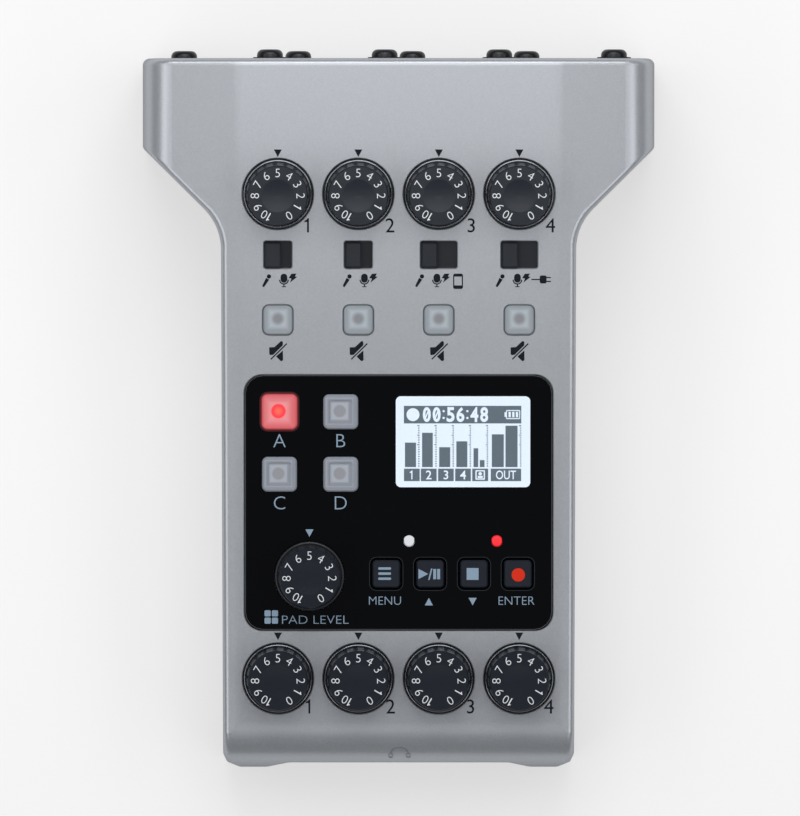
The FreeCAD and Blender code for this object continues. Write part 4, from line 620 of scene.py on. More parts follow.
def block(width: float, depth: float, x: float = 0.0, y: float = 0.0) -> Piece:
    """Makes a plain printed bar round x and y."""
    return plate([(x + side_x * width / 2, y + side_y * depth / 2) for side_x, side_y in CORNERS])


def disc(radius: float, x: float = 0.0, y: float = 0.0) -> Piece:
    """Makes a round printed dot round x and y."""
    return plate(arc(radius, 0, 350, 35, x, y))


def stroke(start: tuple[float, float], end: tuple[float, float], width: float) -> Piece:
    """Makes a straight printed line from one point to another.

    Args:
        start: Its first end.
        end: Its other end.
        width: Width of the line.

    Returns:
        The line.
    """
    turn = math.degrees(math.atan2(end[1] - start[1], end[0] - start[0]))
    bar = block(math.dist(start, end), width)
    return shifted(bar, (start[0] + end[0]) / 2, (start[1] + end[1]) / 2, turn)


def lettering(words: str, height: float, width: float = 0.0, weight: float = 0.0) -> Piece:
    """Makes printed characters centred on the origin.

    Args:
        words: The characters.
        height: Height of the tallest one, in millimetres.
        width: Width of the whole, or 0 to keep the letters' own proportions.
        weight: How far the outline grows, as a share of the letters' size. Below 0 it makes them thin.

    Returns:
        The characters as one mesh.
    """
    clear_selection()
    bpy.ops.object.text_add()
    label = bpy.context.object
    label.data.body = words
    label.data.resolution_u = 4
    label.data.offset = weight
    label.data.extrude = 0.5
    bpy.ops.object.convert(target="MESH")
    label = bpy.context.object
    corners = [Vector(corner) for corner in label.bound_box]
    low, high = Vector(map(min, *corners)), Vector(map(max, *corners))
    size = high - low
    grow = height / size.y
    stretch = width / size.x if width else grow
    scale = Matrix.Diagonal((stretch, grow, PRINT_THICKNESS / size.z, 1.0))
    stand = Matrix.Translation((0.0, 0.0, PRINT_THICKNESS / 2))
    label.data.transform(stand @ scale @ Matrix.Translation(-(low + high) / 2))
    return label


def numeral(number: int, height: float, weight: float = 0.0) -> Piece:
    """Makes a number whose ones have a short flag and no foot.

    Args:
        number: A number from 0 to 10.
        height: Height of its figures.
        weight: How far the other figures' outline grows, as in lettering().

    Returns:
        The number, centred on the origin.
    """
    if number not in (1, 10):
        return lettering(str(number), height, weight=weight)
    flag = [(-0.03, 0.5), (-0.09, 0.4), (-0.24, 0.33), (-0.24, 0.24), (-0.06, 0.24)]
    outline = [(0.07, -0.5), (0.07, 0.5)] + flag + [(-0.06, -0.5)]
    one = plate([(x * height, y * height) for x, y in outline])
    if number == 1:
        return one
    zero = lettering("0", height, weight=weight)
    return joined([shifted(one, -0.3 * height, 0.0), shifted(zero, 0.28 * height, 0.0)])


def rod(
    radius: float, low: float, high: float, rim: float, at_top: bool = True, sides: int = 36, steps: int = 6
) -> Piece:
    """Makes an upright rod and rounds the rim of one end.

    Args:
        radius: Radius of the rod.
        low: Height of its foot.
        high: Height of its top.
        rim: Size of the rounding.
        at_top: True to round the top, False for the foot.
        sides: Number of flats round the rod.
        steps: Number of flats over the rounding.

    Returns:
        The rod.
    """
    clear_selection()
    middle = (0.0, 0.0, (low + high) / 2)
    bpy.ops.mesh.primitive_cylinder_add(vertices=sides, radius=radius, depth=high - low, location=middle)
    piece = bpy.context.object
    bpy.ops.object.transform_apply(location=True)
    bpy.ops.object.mode_set(mode="EDIT")
    bpy.ops.mesh.select_all(action="DESELECT")
    bpy.ops.object.mode_set(mode="OBJECT")
    end = high if at_top else low
    for face in piece.data.polygons:
        face.select = abs(face.center.z - end) < PRINT_THICKNESS
    bpy.ops.object.mode_set(mode="EDIT")
    bpy.ops.mesh.bevel(offset=rim, segments=steps, profile=0.5)
    bpy.ops.object.mode_set(mode="OBJECT")
    return piece


def shifted(piece: Piece, x: float, y: float, turn: float = 0.0) -> Piece:
    """Turns a piece about the origin by degrees, and then moves it on the level plane."""
    piece.data.transform(Matrix.Translation((x, y, 0.0)) @ Matrix.Rotation(math.radians(turn), 4, "Z"))
    return piece


def joined(parts: list[Piece]) -> Piece:
    """Joins several meshes into one piece.

    Args:
        parts: The meshes; the first one stays.

    Returns:
        The joined piece.
    """
    clear_selection()
    for part in parts:
        part.select_set(True)
    bpy.context.view_layer.objects.active = parts[0]
    if len(parts) > 1:
        bpy.ops.object.join()
    return parts[0]


def twin(piece: Piece) -> Piece:
    """Copies a piece with a mesh of its own.

    Args:
        piece: The model.

    Returns:
        The copy.
    """
    copy = piece.copy()
    copy.data = piece.data.copy()
    bpy.context.scene.collection.objects.link(copy)
    return copy


def settle(piece: Piece, name: str, finish: Finish, place: Matrix, body: str = RECORDER) -> Piece:
    """Names a finished piece, carries it to its place, dresses it and lets it ride on its body.

    Args:
        piece: Piece in its own millimetres.
        name: Its name.
        finish: What it is made of.
        place: Matrix to metres on the recorder.
        body: Moving body that carries it.

    Returns:
        The same piece.
    """
    piece.name = name
    piece.data.name = name
    piece.data.transform(place)
    piece.data.materials.clear()
    piece.data.materials.append(finish.material())
    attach(piece, body)
    LOG.info("%s: %d faces on %s", name, len(piece.data.polygons), body)
    return piece


@dataclass
class CaseFinishes:
    """Dresses every piece that keeps its modelled shape."""

    mute_lamp_offset: float = 0.3
    pad_lamp_offset: float = 0.24

    def finish_of(self, node: str, slot: str) -> Finish:
        """Chooses the finish of one node. A button's is drawn round its own lamp.

        Args:
            node: Name of the node.
            slot: Its material slot.

        Returns:
            Its finish.
        """
        if node.startswith("mute_button"):
            rubber = MUTE_SILICONE
            across = COLUMNS[int(node[-1]) - 1]
            along = MUTE_ROW + self.mute_lamp_offset
        elif node.startswith("sound_pad_") and node != "sound_pad_knob":
            index = "abcd".index(node[-1])
            rubber = PAD_SILICONE if index else LIT_SILICONE
            across = PAD_COLUMNS[index % 2] - self.pad_lamp_offset
            along = PAD_ROWS[index // 2] + self.pad_lamp_offset / 2
        else:
            return FINISH_OF_SLOT[slot]
        return replace(rubber, name=f"{rubber.name}_{node}", across=across, along=along)

    def build(self) -> None:
        """Puts a finish on each node of the model."""
        for entry in frame["record"]["subparts"]:
            name = entry["node"]
            finish = self.finish_of(name, entry["material_slot"])
            node = frame["nodes"][name]
            if not node.material_slots:
                node.data.materials.append(None)
            for place in node.material_slots:
                place.material = finish.material()
            LOG.info("%s: %s", name, finish.name)


@dataclass
class KnobDial:
    """Numbers printed on a knob, 0 to 10 with 5 at the rear, and the bead round its flange."""

    ring_radius: float = 5.0
    digit_height: float = 1.85
    digit_weight: float = -0.013
    step: float = 30.0
    knob_height: float = 6.0
    flange_height: float = 0.35
    bead_radius: float = 7.25
    bead_width: float = 0.5
    bead_stand: float = 0.14

    def ring(self) -> Piece:
        """Models the ring of numbers once, round the origin.

        Returns:
            The numbers as one mesh.
        """
        digits = []
        for number in range(11):
            digit = shifted(numeral(number, self.digit_height, self.digit_weight), 0.0, self.ring_radius)
            digits.append(shifted(digit, 0.0, 0.0, (number - 5) * self.step))
        return joined(digits)

    def bead(self) -> Piece:
        """Models the rounded bead on the knob's flange, a flattened ring half sunk in it.

        Returns:
            The bead, round the origin.
        """
        clear_selection()
        half = self.bead_width / 2
        bpy.ops.mesh.primitive_torus_add(
            major_radius=self.bead_radius, minor_radius=half, major_segments=96, minor_segments=10
        )
        bead = bpy.context.object
        bead.data.transform(Matrix.Diagonal((1.0, 1.0, self.bead_stand / half, 1.0)))
        bpy.ops.object.shade_smooth()
        return bead

    def build(self) -> None:
        """Prints the nine knobs and builds their beads. The pad knob's bead is plain black plastic."""
        ring, bead = self.ring(), self.bead()
        places = {}
        for row, along in (("input", INPUT_ROW), ("headphone", HEADPHONE_ROW)):
            places.update({f"{row}_knob_{number}": (x, along) for number, x in enumerate(COLUMNS, 1)})
        places["sound_pad_knob"] = SOUND_KNOB
        for knob, spot in places.items():
            cap, flange = Panel.at(*spot, self.knob_height), Panel.at(*spot, self.flange_height)
            settle(twin(ring), f"{knob}_numbers", WHITE_INK, cap, knob)
            shine = OPENING_HIGHLIGHT_AND_PAD_BEAD if spot == SOUND_KNOB else BLACK_CHROME
            settle(twin(bead), f"{knob}_bead", shine, flange, knob)
        bpy.data.objects.remove(ring)
        bpy.data.objects.remove(bead)


class Sign(Enum):
    """Signs printed on the silver shell."""

    HAND_MICROPHONE = "hand microphone"
    STUDIO_MICROPHONE = "studio microphone"
    BOLT = "bolt"
    PHONE = "phone"
    PLUG = "plug"
    MUTE = "loudspeaker with a stroke through it"

    def model(self) -> Piece:
        """Models the sign round its own middle.

        Returns:
            The sign as one mesh.
        """
        if self is Sign.HAND_MICROPHONE:
            handle = plate([(-0.4, 0.42), (0.4, 0.42), (0.24, -1.6), (-0.24, -1.6)])
            return shifted(joined([disc(0.47, 0.0, 1.0), handle]), 0.0, 0.0, -30.0)
        if self is Sign.STUDIO_MICROPHONE:
            capsule = plate(rounded(1.47, 1.98, 0.72, 0.0, 0.53))
            cradle = plate(arc(1.075, 180, 360, 18, 0.0, 0.2) + arc(0.815, 360, 180, 18, 0.0, 0.2))
            return joined([capsule, cradle, block(0.24, 0.4, 0.0, -1.05), block(0.95, 0.2, 0.0, -1.34)])
        if self is Sign.BOLT:
            upper = [(-0.34, 0.94), (0.76, 1.0), (0.44, 0.36), (0.93, 0.28)]
            return plate(upper + [(-0.66, -1.0), (-0.32, -0.1), (-0.93, 0.02)])
        if self is Sign.PHONE:
            case = plate(rounded(2.15, 3.35, 0.4), 0.26)
            return joined([case, block(1.75, 0.42, 0.0, 1.24), block(1.75, 0.55, 0.0, -1.17)])
        if self is Sign.PLUG:
            prongs = [block(1.0, 0.26, 1.6, side * 0.42) for side in (-1, 1)]
            return joined([plate(rounded(1.5, 1.75, 0.35, 0.4, 0.0)), block(1.9, 0.26, -1.2)] + prongs)
        horn = [(-1.9, 0.87), (-0.75, 0.93), (0.63, 2.22), (0.95, 2.24), (1.12, 1.9), (1.06, 1.3)]
        upper = plate(horn + [(-1.02, -0.76), (-1.68, -0.82), (-1.88, -0.64)])
        lower = plate([(1.1, 0.2), (1.14, -1.9), (0.85, -2.16), (0.55, -2.08), (-0.4, -1.12)])
        return joined([upper, lower, stroke((-1.55, -1.75), (1.97, 1.71), 0.28)])


@dataclass
class PanelPrint:
    """Signs, numbers and pointers printed on the silver shell and the black panel."""

    number_height: float = 3.1
    number_rows: tuple = (
        ("input", (-19.82, -1.88, 15.88, 33.19), 40.16),
        ("headphone", (-19.56, -1.77, 15.75, 32.88), -65.45),
    )
    pointer_width: float = 1.76
    pointer_height: float = 1.66
    pointer_rows: tuple = (55.96, -50.03)
    sound_pointer_row: float = -27.36
    switch_signs: tuple = (
        (Sign.HAND_MICROPHONE, -2.44, 28.1),
        (Sign.STUDIO_MICROPHONE, 1.33, 28.05),
        (Sign.BOLT, 3.3, 28.6),
    )
    last_signs: tuple = ((), (), ((Sign.PHONE, 5.95, 27.9),), ((Sign.PLUG, 6.55, 28.3),))
    wide_slot_shift: float = -1.75
    mute_sign_row: float = 12.54
    weight: float = -0.014
    letter_height: float = 2.85
    letter_rows: tuple = (-7.06, -20.71)
    word_height: float = 1.8
    words: tuple = (
        ("MENU", 7.0, -2.98, -42.19),
        ("ENTER", 7.85, 25.81, -42.19),
        ("PAD LEVEL", 14.6, -18.21, -46.37),
    )
    arrow_row: float = -42.4
    arrows: tuple = ((6.63, 180.0), (16.21, 0.0))
    pad_sign: tuple = (-27.87, -45.78)
    pad_sign_square: float = 1.35
    pad_sign_corner: float = 0.25
    pad_sign_spread: float = 0.8

    def pointer(self) -> Piece:
        """Models a small triangle that points to the front."""
        across, along = self.pointer_width / 2, self.pointer_height / 2
        return plate([(-across, along), (across, along), (0.0, -along)])

    def print_knob_marks(self) -> None:
        """Prints the channel numbers at the two rows of knobs, and the triangle above each knob."""
        for row, spots, along in self.number_rows:
            digits = [shifted(numeral(n, self.number_height), x, along) for n, x in enumerate(spots, 1)]
            settle(joined(digits), f"{row}_numbers", DARK_INK, Panel.at())
        dark = [shifted(self.pointer(), x, along) for x in COLUMNS for along in self.pointer_rows]
        settle(joined(dark), "knob_pointers", DARK_INK, Panel.at())
        place = Panel.at(SOUND_KNOB[0], self.sound_pointer_row)
        settle(self.pointer(), "sound_knob_pointer", BLUE_GREY_INK, place)

    def print_channel_signs(self) -> None:
        """Prints what each place of a slide switch chooses, and the sign under each mute button."""
        for number, (column, last) in enumerate(zip(COLUMNS, self.last_signs), 1):
            start = column + (self.wide_slot_shift if last else 0.0)
            signs = [shifted(sign.model(), start + x, y) for sign, x, y in self.switch_signs + last]
            settle(joined(signs), f"input_signs_{number}", DARK_INK, Panel.at())
        for number, column in enumerate(COLUMNS, 1):
            place = Panel.at(column, self.mute_sign_row)
            settle(Sign.MUTE.model(), f"mute_sign_{number}", DARK_INK, place)

    def print_black_panel(self) -> None:
        """Prints the letters, words, arrows and the pads' sign on the black panel."""
        marks = []
        for index, letter in enumerate("ABCD"):
            mark = lettering(letter, self.letter_height, weight=self.weight)
            marks.append(shifted(mark, PAD_COLUMNS[index % 2], self.letter_rows[index // 2]))
        for word, width, x, y in self.words:
            marks.append(shifted(lettering(word, self.word_height, width, self.weight), x, y))
        marks += [shifted(self.pointer(), x, self.arrow_row, turn) for x, turn in self.arrows]
        square = rounded(self.pad_sign_square, self.pad_sign_square, self.pad_sign_corner, *self.pad_sign)
        reach = self.pad_sign_spread
        marks += [shifted(plate(square), side_x * reach, side_y * reach) for side_x, side_y in CORNERS]
        settle(joined(marks), "black_panel_print", BLUE_GREY_INK, Panel.at())

    def build(self) -> None:
        """Prints everything."""
        self.print_knob_marks()
        self.print_channel_signs()
        self.print_black_panel()


@dataclass
class HeadphoneSign:
    """Headphones raised on the rounded front edge, in the shell's silver paint darkened as painted shade of
    the relief.
    """

    roll_start: float = -68.8
    roll_radius: float = 11.0
    middle: float = 7.55
    band_radius: float = 2.05
    line: float = 0.24
    cup_width: float = 1.05
    cup_height: float = 1.5
    cup_corner: float = 0.4
    cup_spot: tuple = (1.92, -0.7)
    shift: tuple = (0.2, -0.3)
    relief: float = 0.15

    def wrap(self, piece: Piece) -> Piece:
        """Lays a flat piece on the rounded edge, as deep along the curve as it is tall when flat.

        Args:
            piece: Piece on the level plane, its top to the rear.

        Returns:
            The same piece in the panel's millimetres.
        """
        for vertex in piece.data.vertices:
            across, along, above = vertex.co
            angle, reach = (self.middle - along) / self.roll_radius, self.roll_radius + above
            forward, height = reach * math.sin(angle), reach * math.cos(angle) - self.roll_radius
            vertex.co = (across, self.roll_start - forward, height)
        return piece

    def build(self) -> None:
        """Builds the headband and its two ear cups."""
        band = plate(arc(self.band_radius, 0, 180, 24) + arc(self.band_radius - self.line, 180, 0, 24))
        cup = rounded(self.cup_width, self.cup_height, self.cup_corner)
        x, y = self.cup_spot
        cups = [shifted(plate(cup, self.line), side * x, y) for side in (-1, 1)]
        sign = self.wrap(shifted(raised(joined([band] + cups), self.relief), *self.shift))
        # The darker silver is painted shade of the relief. The real sign is in the shell's own paint.
        settle(sign, "headphone_sign", RELIEF_PAINT_DARKENED_AS_SHADE, Panel.at())


@dataclass
class KeySymbols:
    """Symbols printed on the four transport keys."""

    stand: float = 0.3

    def menu(self) -> Piece:
        """Models three bars."""
        return joined([plate(rounded(2.8, 0.52, 0.2, -0.35, step * 1.12 + 0.08)) for step in (-1, 0, 1)])

    def play_pause(self) -> Piece:
        """Models a triangle, a stroke and two bars.

        Returns:
            The symbol as one mesh.
        """
        triangle = plate([(-2.55, 1.12), (-2.55, -1.12), (-0.4, 0.0)])
        slash = plate([(-0.42, -1.3), (-0.1, -1.3), (0.52, 1.2), (0.2, 1.2)])
        return joined([triangle, slash] + [block(0.64, 2.25, across, -0.03) for across in (1.0, 1.86)])

    def build(self) -> None:
        """Prints the keys, the last one in red."""
        symbols = (self.menu(), self.play_pause(), block(2.6, 2.6, -0.3), disc(1.46, 0.1, -0.2))
        for key, column, symbol in zip(KEY_NAMES, KEY_COLUMNS, symbols):
            ink = RED_INK if key == "record_key" else BLUE_GREY_INK
            settle(symbol, f"{key}_symbol", ink, Panel.at(column, KEY_ROW, self.stand), key)


@dataclass
class PanelLines:
    """Painted highlights along the black panel's edge and the key openings, and the glow round the lit pad.
    """

    set_back: float = 0.12
    edge_line: float = 0.13
    edge_corner: float = 4.0
    key_width: float = 7.44
    key_line: float = 0.12
    key_corner: float = 1.57
    glow_width: float = 8.35
    glow_line: float = 0.2
    glow_corner: float = 1.6

    def draw(self, name: str, finish: Finish, outline: Points, line: float, place: Matrix) -> None:
        """Builds a line of one width inside an outline."""
        settle(plate(outline, line), name, finish, place)

    def build(self) -> None:
        """Builds the painted highlight along the panel's edge from its size, and then the other lines."""
        low, high = (Vector(corner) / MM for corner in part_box("display_panel"))
        width = high.x - low.x - 2 * self.set_back
        depth = (high.y - low.y) / math.cos(Panel.TILT) - 2 * self.set_back
        outline = rounded(width, depth, self.edge_corner - self.set_back)
        middle = (low + high) / 2
        place = Panel.at(middle.x, middle.y / math.cos(Panel.TILT))
        # A grey line just inside the panel's outline: a painted highlight of its chamfered edge
        self.draw("black_panel_edge_highlight", EDGE_HIGHLIGHT_GREY, outline, self.edge_line, place)
        # Thin grey lines round the key openings: a painted highlight of their edges
        outline = rounded(self.key_width, self.key_width, self.key_corner)
        for key, column in zip(KEY_NAMES, KEY_COLUMNS):
            self.draw(f"{key}_opening_edge", OPENING_HIGHLIGHT_AND_PAD_BEAD, outline, self.key_line, Panel.at(column, KEY_ROW))
        place = Panel.at(PAD_COLUMNS[0], PAD_ROWS[0])
        for name, finish, out in (("near", NEAR_GLOW, 0.0), ("far", FAR_GLOW, self.glow_line)):
            width = self.glow_width + 2 * out
            outline = rounded(width, width, self.glow_corner + out)
            self.draw(f"pad_a_{name}_glow", finish, outline, self.glow_line, place)


@dataclass
class DisplayScreen:
    """Lit display under the clear lens: level bars, their scales, a clock and a battery sign."""

    glass_width: float = 29.8
    glass_depth: float = 20.4
    glass_corner: float = 0.4
    glass_foot: float = -1.46
    glass_thickness: float = 0.12
    layer: float = 0.01
    header_width: float = 25.7
    header_depth: float = 3.87
    header_middle: float = -0.1
    header_row: float = 5.88
    bars_foot: float = -5.64
    bar_tops: tuple = (
        (-11.5, 2.43, -0.25),
        (-7.79, 2.36, 1.91),
        (-4.01, 2.41, -1.26),
        (-0.26, 2.41, 0.03),
        (2.81, 1.03, -1.5),
        (4.19, 1.03, -4.1),
        (7.61, 2.63, 1.56),
        (10.61, 2.65, 3.45),
    )
    label_row: float = -7.35
    label_depth: float = 2.75
    label_height: float = 1.95
    label_weight: float = 0.01
    out_width: float = 4.4
    labels: tuple = (
        ("1", -11.2, 3.46),
        ("2", -7.5, 3.46),
        ("3", -3.74, 3.43),
        ("4", 0.0, 3.43),
        ("", 3.76, 3.48),
        ("OUT", 9.4, 6.65),
    )
    scale_columns: tuple = (-9.67, -5.91, -2.14, 1.6, 5.34, 12.6)
    dot_width: float = 0.3
    dot_depth: float = 0.25
    dot_foot: float = -5.4
    dot_step: float = 0.52
    dot_count: int = 18
    tick_width: float = 0.45
    tick_depth: float = 0.22
    tick_shift: float = -0.12
    tick_rows: tuple = (-0.72, 1.36, 3.44)
    clock_left: float = -8.8
    clock_row: float = 5.9
    figure_width: float = 1.75
    figure_height: float = 3.3
    figure_weight: float = 0.035
    figure_gap: float = 0.4
    colon_width: float = 0.5
    colon_spread: float = 0.75
    slash_reach: float = 0.4
    slash_line: float = 0.3
    record_dot: float = -10.95
    person: float = 3.76
    battery: float = 10.95
    battery_bars: tuple = ((0.35, 1.0, -1.7), (0.5, 1.2, -0.75), (0.5, 1.2, 0.05), (0.5, 1.2, 0.85))

    def scale(self, across: float) -> Piece:
        """Models one dotted scale as a dot repeated along a line.

        Args:
            across: Place of the scale from the window's middle.

        Returns:
            The dots and the longer ticks as one mesh.
        """
        dots = block(self.dot_width, self.dot_depth, across, self.dot_foot)
        repeat = dots.modifiers.new("dots", "ARRAY")
        repeat.count = self.dot_count
        repeat.use_relative_offset = False
        repeat.use_constant_offset = True
        repeat.constant_offset_displace = (0.0, self.dot_step, 0.0)
        bpy.ops.object.modifier_apply(modifier=repeat.name)
        middle = across + self.tick_shift
        ticks = [block(self.tick_width, self.tick_depth, middle, row) for row in self.tick_rows]
        return joined([dots] + ticks)

    def dark_parts(self) -> Piece:
        """Models the dark segments: the header, the bars, the label boxes and the scales.

        Returns:
            The segments as one mesh.
        """
        parts = [block(self.header_width, self.header_depth, self.header_middle, self.header_row)]
        for across, width, top in self.bar_tops:
            parts.append(block(width, top - self.bars_foot, across, (top + self.bars_foot) / 2))
        parts += [block(width, self.label_depth, across, self.label_row) for _, across, width in self.labels]
        parts += [self.scale(across) for across in self.scale_columns]
        return joined(parts)

    def clock(self) -> list[Piece]:
        """Models the running time in bold figures, with a stroke in each zero.

        Returns:
            The figures and the dots between them.
        """
        marks = []
        left = self.clock_left
        for figure in "00:56:48":
            width = self.colon_width if figure == ":" else self.figure_width
            middle = left + width / 2
            if figure == ":":
                spread = self.colon_spread
                marks += [disc(width / 2, middle, self.clock_row + side * spread) for side in (-1, 1)]
            else:
                bold = lettering(figure, self.figure_height, width, self.figure_weight)
                marks.append(shifted(bold, middle, self.clock_row))
            if figure == "0":
                ends = [(middle + side * self.slash_reach, self.clock_row + side) for side in (-1, 1)]
                marks.append(stroke(*ends, self.slash_line))
            left += width + self.figure_gap
        return marks

    def small_signs(self) -> list[Piece]:
        """Models the recording dot, the boxed person and the battery with its three bars.

        Returns:
            The pieces of the signs.
        """
        person_box = rounded(2.1, 2.1, 0.2, self.person, self.label_row)
        person = [block(1.1, 0.5, self.person, -7.8), disc(0.38, self.person, -7.1), plate(person_box, 0.28)]
        battery = [plate(rounded(3.1, 2.0, 0.25, self.battery, self.clock_row), 0.22)]
        for width, depth, across in self.battery_bars:
            battery.append(block(width, depth, self.battery + across, self.clock_row))
        return person + battery + [disc(1.42, self.record_dot, self.header_row)]

    def light_parts(self) -> Piece:
        """Models the light marks over the dark segments.

        Returns:
            The marks as one mesh.
        """
        parts = self.clock() + self.small_signs()
        for text, across, width in self.labels:
            if text.isdigit():
                mark = numeral(int(text), self.label_height, self.label_weight)
            elif text:
                mark = lettering(text, self.label_height, self.out_width, self.label_weight)
            else:
                continue
            parts.append(shifted(mark, across, self.label_row))
        return joined(parts)

    def build(self) -> None:
        """Builds the glass and its two layers of segments."""
        outline = rounded(self.glass_width, self.glass_depth, self.glass_corner)
        glass = raised(plate(outline), self.glass_thickness)
        settle(glass, "display_glass", BACKLIGHT, Panel.at(*WINDOW, self.glass_foot))
        skin = self.glass_foot + self.glass_thickness
        dark, light = raised(self.dark_parts(), self.layer), raised(self.light_parts(), self.layer)
        settle(dark, "display_segments", DISPLAY_DARK, Panel.at(*WINDOW, skin))
        settle(light, "display_marks", BACKLIGHT, Panel.at(*WINDOW, skin + self.layer))


@dataclass
class IndicatorLamps:
    """Two clear pipes with domed ends that carry the board's white and red lamps to the panel."""

    radius: float = 1.1
    foot: float = -6.9
    dome: float = 0.35
    crease: float = 40.0

    def build(self) -> None:
        """Builds both lamps, which stand for the modelled pipes."""
        for name, spot, finish in zip(("white_lamp", "red_lamp"), LAMPS, (WHITE_LAMP, RED_LAMP)):
            pipe = rod(self.radius, self.foot, 0.0, self.dome, sides=40, steps=4)
            bpy.ops.object.shade_smooth_by_angle(angle=math.radians(self.crease))
            lamp = settle(pipe, name, finish, Panel.at(*spot))
            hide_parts("light_pipes")


@dataclass
class CrossScrew:
    """Pan-head screw with a cross recess, modelled with its head up and its seat at the origin."""

    head_radius: float
    head_height: float
    shank_radius: float
    shank_length: float
    crown_bevel: float = 0.65
    recess_width: float = 0.75
    recess_reach: float = 1.7
    recess_depth: float = 0.9
    recess_taper: float = 0.35
    tip_bevel: float = 0.4
    overlap: float = 0.1
    crease: float = 35.0

    def recess(self) -> list[Piece]:
        """Models the tapered cross that is cut into the head.

        Returns:
            Its two bars.
        """
        bars = []
        for turn in (0.0, 90.0):
            clear_selection()
            bpy.ops.mesh.primitive_cube_add(size=1.0)
            bar = bpy.context.object
            size = Matrix.Diagonal((2 * self.recess_reach, self.recess_width, 2 * self.recess_depth, 1.0))
            bar.data.transform(Matrix.Translation((0.0, 0.0, self.head_height)) @ size)
            for vertex in bar.data.vertices:
                if vertex.co.z < self.head_height:
                    vertex.co.x *= self.recess_taper
            bars.append(shifted(bar, 0.0, 0.0, turn))
        return bars

    def model(self) -> Piece:
        """Models the whole screw.

        Returns:
            The screw as one mesh.
        """
        head = rod(self.head_radius, 0.0, self.head_height, self.crown_bevel)
        for bar in self.recess():
            cut = head.modifiers.new("recess", "BOOLEAN")
            cut.operation = "DIFFERENCE"
            cut.object = bar
            clear_selection()
            bpy.context.view_layer.objects.active = head
            bpy.ops.object.modifier_apply(modifier=cut.name)
            bpy.data.objects.remove(bar)
        shank = rod(self.shank_radius, -self.shank_length, self.overlap, self.tip_bevel, at_top=False)
        screw = joined([head, shank])
        bpy.ops.object.shade_smooth_by_angle(angle=math.radians(self.crease))
        return screw


@dataclass
class Screws:
    """The eight screws of the microphone sockets and the five that close the case."""

    socket_height: float = 22.0
    screw_across: float = 9.5
    screw_up: float = 12.0
    rear_seat: float = 76.9
    wells: tuple = ((-35.0, 45.0), (35.0, 45.0), (-33.3, -70.5), (33.3, -70.5), (0.0, 12.5))
    upper_depth: float = 12.5
    well_cover: float = 5.0
    reach: float = 12.0

    def drive(self, kind: CrossScrew, places: dict[str, Matrix]) -> list[Piece]:
        """Builds a set of like screws.

        Args:
            kind: Their sizes.
            places: Where each is, in millimetres, by its name.

        Returns:
            The screws.
        """
        model = kind.model()
        screws = []
        for name, place in places.items():
            screws.append(settle(twin(model), name, BLACK_ZINC, Matrix.Scale(MM, 4) @ place))
        bpy.data.objects.remove(model)
        return screws

    def build(self) -> None:
        """Builds the sockets' screws, heads to the rear, and the case's, heads down in their wells."""
        places = {}
        to_rear = Matrix.Rotation(math.radians(-90), 4, "X")
        for number, column in enumerate(SOCKET_COLUMNS):
            for side, end in ((-1, "lower"), (1, "upper")):
                x, height = column + side * self.screw_across, self.socket_height + side * self.screw_up
                turn = Matrix.Rotation(math.radians(37 * number + 20 * side), 4, "Z")
                place = Matrix.Translation((x, self.rear_seat, height)) @ to_rear @ turn
                places[f"socket_screw_{number + 1}_{end}"] = place
        for screw in self.drive(CrossScrew(2.85, 1.7, 1.45, 8.0, crown_bevel=1.25), places):
            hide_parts("xlr_screws")
        places = {}
        upside_down = Matrix.Rotation(math.pi, 4, "X")
        for number, (x, y) in enumerate(self.wells, 1):
            seam = Panel.HEIGHT + y * math.tan(Panel.TILT) - self.upper_depth / math.cos(Panel.TILT)
            places[f"case_screw_{number}"] = Matrix.Translation((x, y, seam - self.well_cover)) @ upside_down
        for screw in self.drive(CrossScrew(2.6, 1.8, 1.3, self.reach), places):
            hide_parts("case_screws")


@dataclass(frozen=True)
class SoftBox:
    """One soft lamp: its place, the point it faces, its width and height in metres, and its watts."""

    name: str
    spot: tuple[float, float, float]
    aim: tuple[float, float, float]
    size: tuple[float, float]
    power: float

    def build(self) -> None:
        """Builds the lamp, which the camera doesn't see."""
        light = bpy.data.lights.new(self.name, "AREA")
        light.shape = "RECTANGLE"
        light.size, light.size_y = self.size
        light.energy = self.power
        lamp = bpy.data.objects.new(self.name, light)
        lamp.location = self.spot
        lamp.rotation_euler = (Vector(self.aim) - Vector(self.spot)).to_track_quat("-Z", "Y").to_euler()
        lamp.visible_camera = False
        bpy.context.scene.collection.objects.link(lamp)


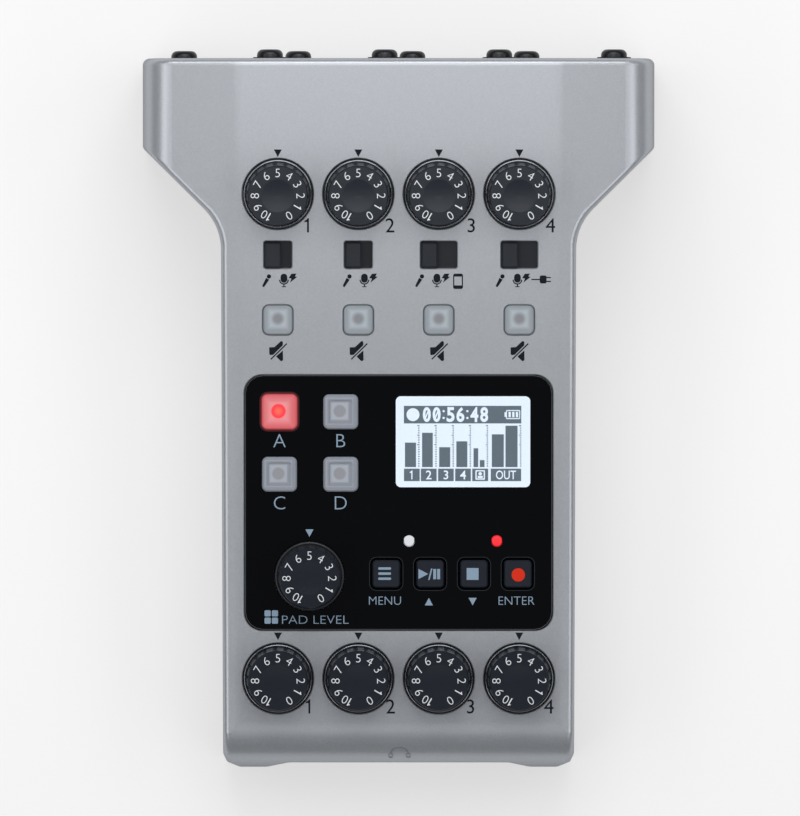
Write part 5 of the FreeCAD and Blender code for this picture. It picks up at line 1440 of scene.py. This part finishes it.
@dataclass
class Studio:
    """Pale floor, soft lamps and the camera straight above."""

    picture_width_mm: float = 175.0
    camera_height: float = 5.0
    camera_reach: float = 20.0
    sensor_mm: float = 36.0
    aim_mm: tuple = (0.31, 0.11)
    world_colour: str = "#FFFFFF"
    world_strength: float = 0.07
    floor_size: float = 8.0
    floor_colour: str = "#B4B4B4"
    floor_light: str = "#FFFFFF"
    floor_glow: float = 0.55
    soft_boxes: tuple = (
        SoftBox("top_soft_box", (0.0, 0.237, 0.45), (0.0, 0.237, 0.0), (0.3, 0.46), 0.82),
        SoftBox("rear_soft_box", (0.0, 0.45, 0.42), (0.0, 0.0, 0.0), (0.6, 0.15), 1.0),
        SoftBox("front_soft_box", (0.0, -0.26, 0.42), (0.0, 0.0, 0.0), (0.5, 0.2), 0.15),
        SoftBox("left_soft_box", (-0.36, -0.05, 0.42), (0.0, 0.0, 0.0), (0.8, 0.2), 1.0),
        SoftBox("right_soft_box", (0.36, -0.05, 0.42), (0.0, 0.0, 0.0), (0.8, 0.2), 0.93),
    )

    def floor_material(self) -> bpy.types.Material:
        """Makes matte paper that is clear from below. Its glow makes up what the lamps leave short of white.

        Returns:
            The floor's material.
        """
        material = bpy.data.materials.new("pale_paper_floor")
        material.use_nodes = True
        tree = material.node_tree
        surface = tree.nodes[SHADER]
        paper = {"Base Color": linear_colour(self.floor_colour), "Roughness": 0.9, "Specular IOR Level": 0.0}
        adjust(surface, paper | {"Emission Color": linear_colour(self.floor_light)})
        path = add_node(tree, "ShaderNodeLightPath", {})
        seen = path.outputs["Is Camera Ray"]
        for kind in ("Is Glossy Ray", "Is Transmission Ray"):
            either = {0: seen, 1: path.outputs[kind]}
            seen = add_node(tree, "ShaderNodeMath", {"operation": "MAXIMUM"}, either).outputs[0]
        glow = add_node(tree, "ShaderNodeMath", {"operation": "MULTIPLY", 1: self.floor_glow}, {0: seen})
        feed(tree, "Emission Strength", glow.outputs[0])
        side = add_node(tree, "ShaderNodeNewGeometry", {})
        clear = add_node(tree, "ShaderNodeBsdfTransparent", {})
        sides = {0: side.outputs["Backfacing"], 1: surface.outputs[0], 2: clear.outputs[0]}
        one_sided = add_node(tree, "ShaderNodeMixShader", {}, sides)
        tree.links.new(one_sided.outputs[0], tree.nodes["Material Output"].inputs["Surface"])
        material.cycles.emission_sampling = "NONE"
        return material

    def build_floor(self) -> None:
        """Builds the floor that the recorder stands on."""
        clear_selection()
        bpy.ops.mesh.primitive_plane_add(size=self.floor_size)
        floor = bpy.context.object
        floor.name = "studio_floor"
        floor.data.materials.append(self.floor_material())

    def build_world(self) -> None:
        """Fills the room with even, pale light."""
        world = bpy.data.worlds.new("studio_room")
        world.use_nodes = True
        light = {"Color": linear_colour(self.world_colour), "Strength": self.world_strength}
        adjust(world.node_tree.nodes["Background"], light)
        bpy.context.scene.world = world

    def build_camera(self) -> None:
        """Builds the camera, whose picture is as wide at the panel as the photograph's."""
        data = bpy.data.cameras.new("camera")
        data.sensor_fit = "HORIZONTAL"
        data.sensor_width = self.sensor_mm
        reach = self.camera_height - Panel.HEIGHT * MM
        data.lens = self.sensor_mm * reach / (self.picture_width_mm * MM)
        data.clip_end = self.camera_reach
        camera = bpy.data.objects.new("camera", data)
        camera.location = (self.aim_mm[0] * MM, self.aim_mm[1] * MM, self.camera_height)
        bpy.context.scene.collection.objects.link(camera)
        bpy.context.scene.camera = camera

    def build(self) -> None:
        """Builds the whole studio."""
        self.build_floor()
        for soft_box in self.soft_boxes:
            soft_box.build()
        self.build_world()
        self.build_camera()
        bpy.context.scene.view_settings.view_transform = "Standard"


def main() -> None:
    """Builds the looks of the recorder, piece by piece."""
    logging.basicConfig(level=logging.INFO, format="%(message)s")
    prints = (CaseFinishes(), KnobDial(), PanelPrint(), HeadphoneSign(), KeySymbols())
    for part in prints + (PanelLines(), DisplayScreen(), IndicatorLamps(), Screws(), Studio()):
        LOG.info("Building %s", type(part).__name__)
        part.build()


if __name__ == "__main__":
    main()
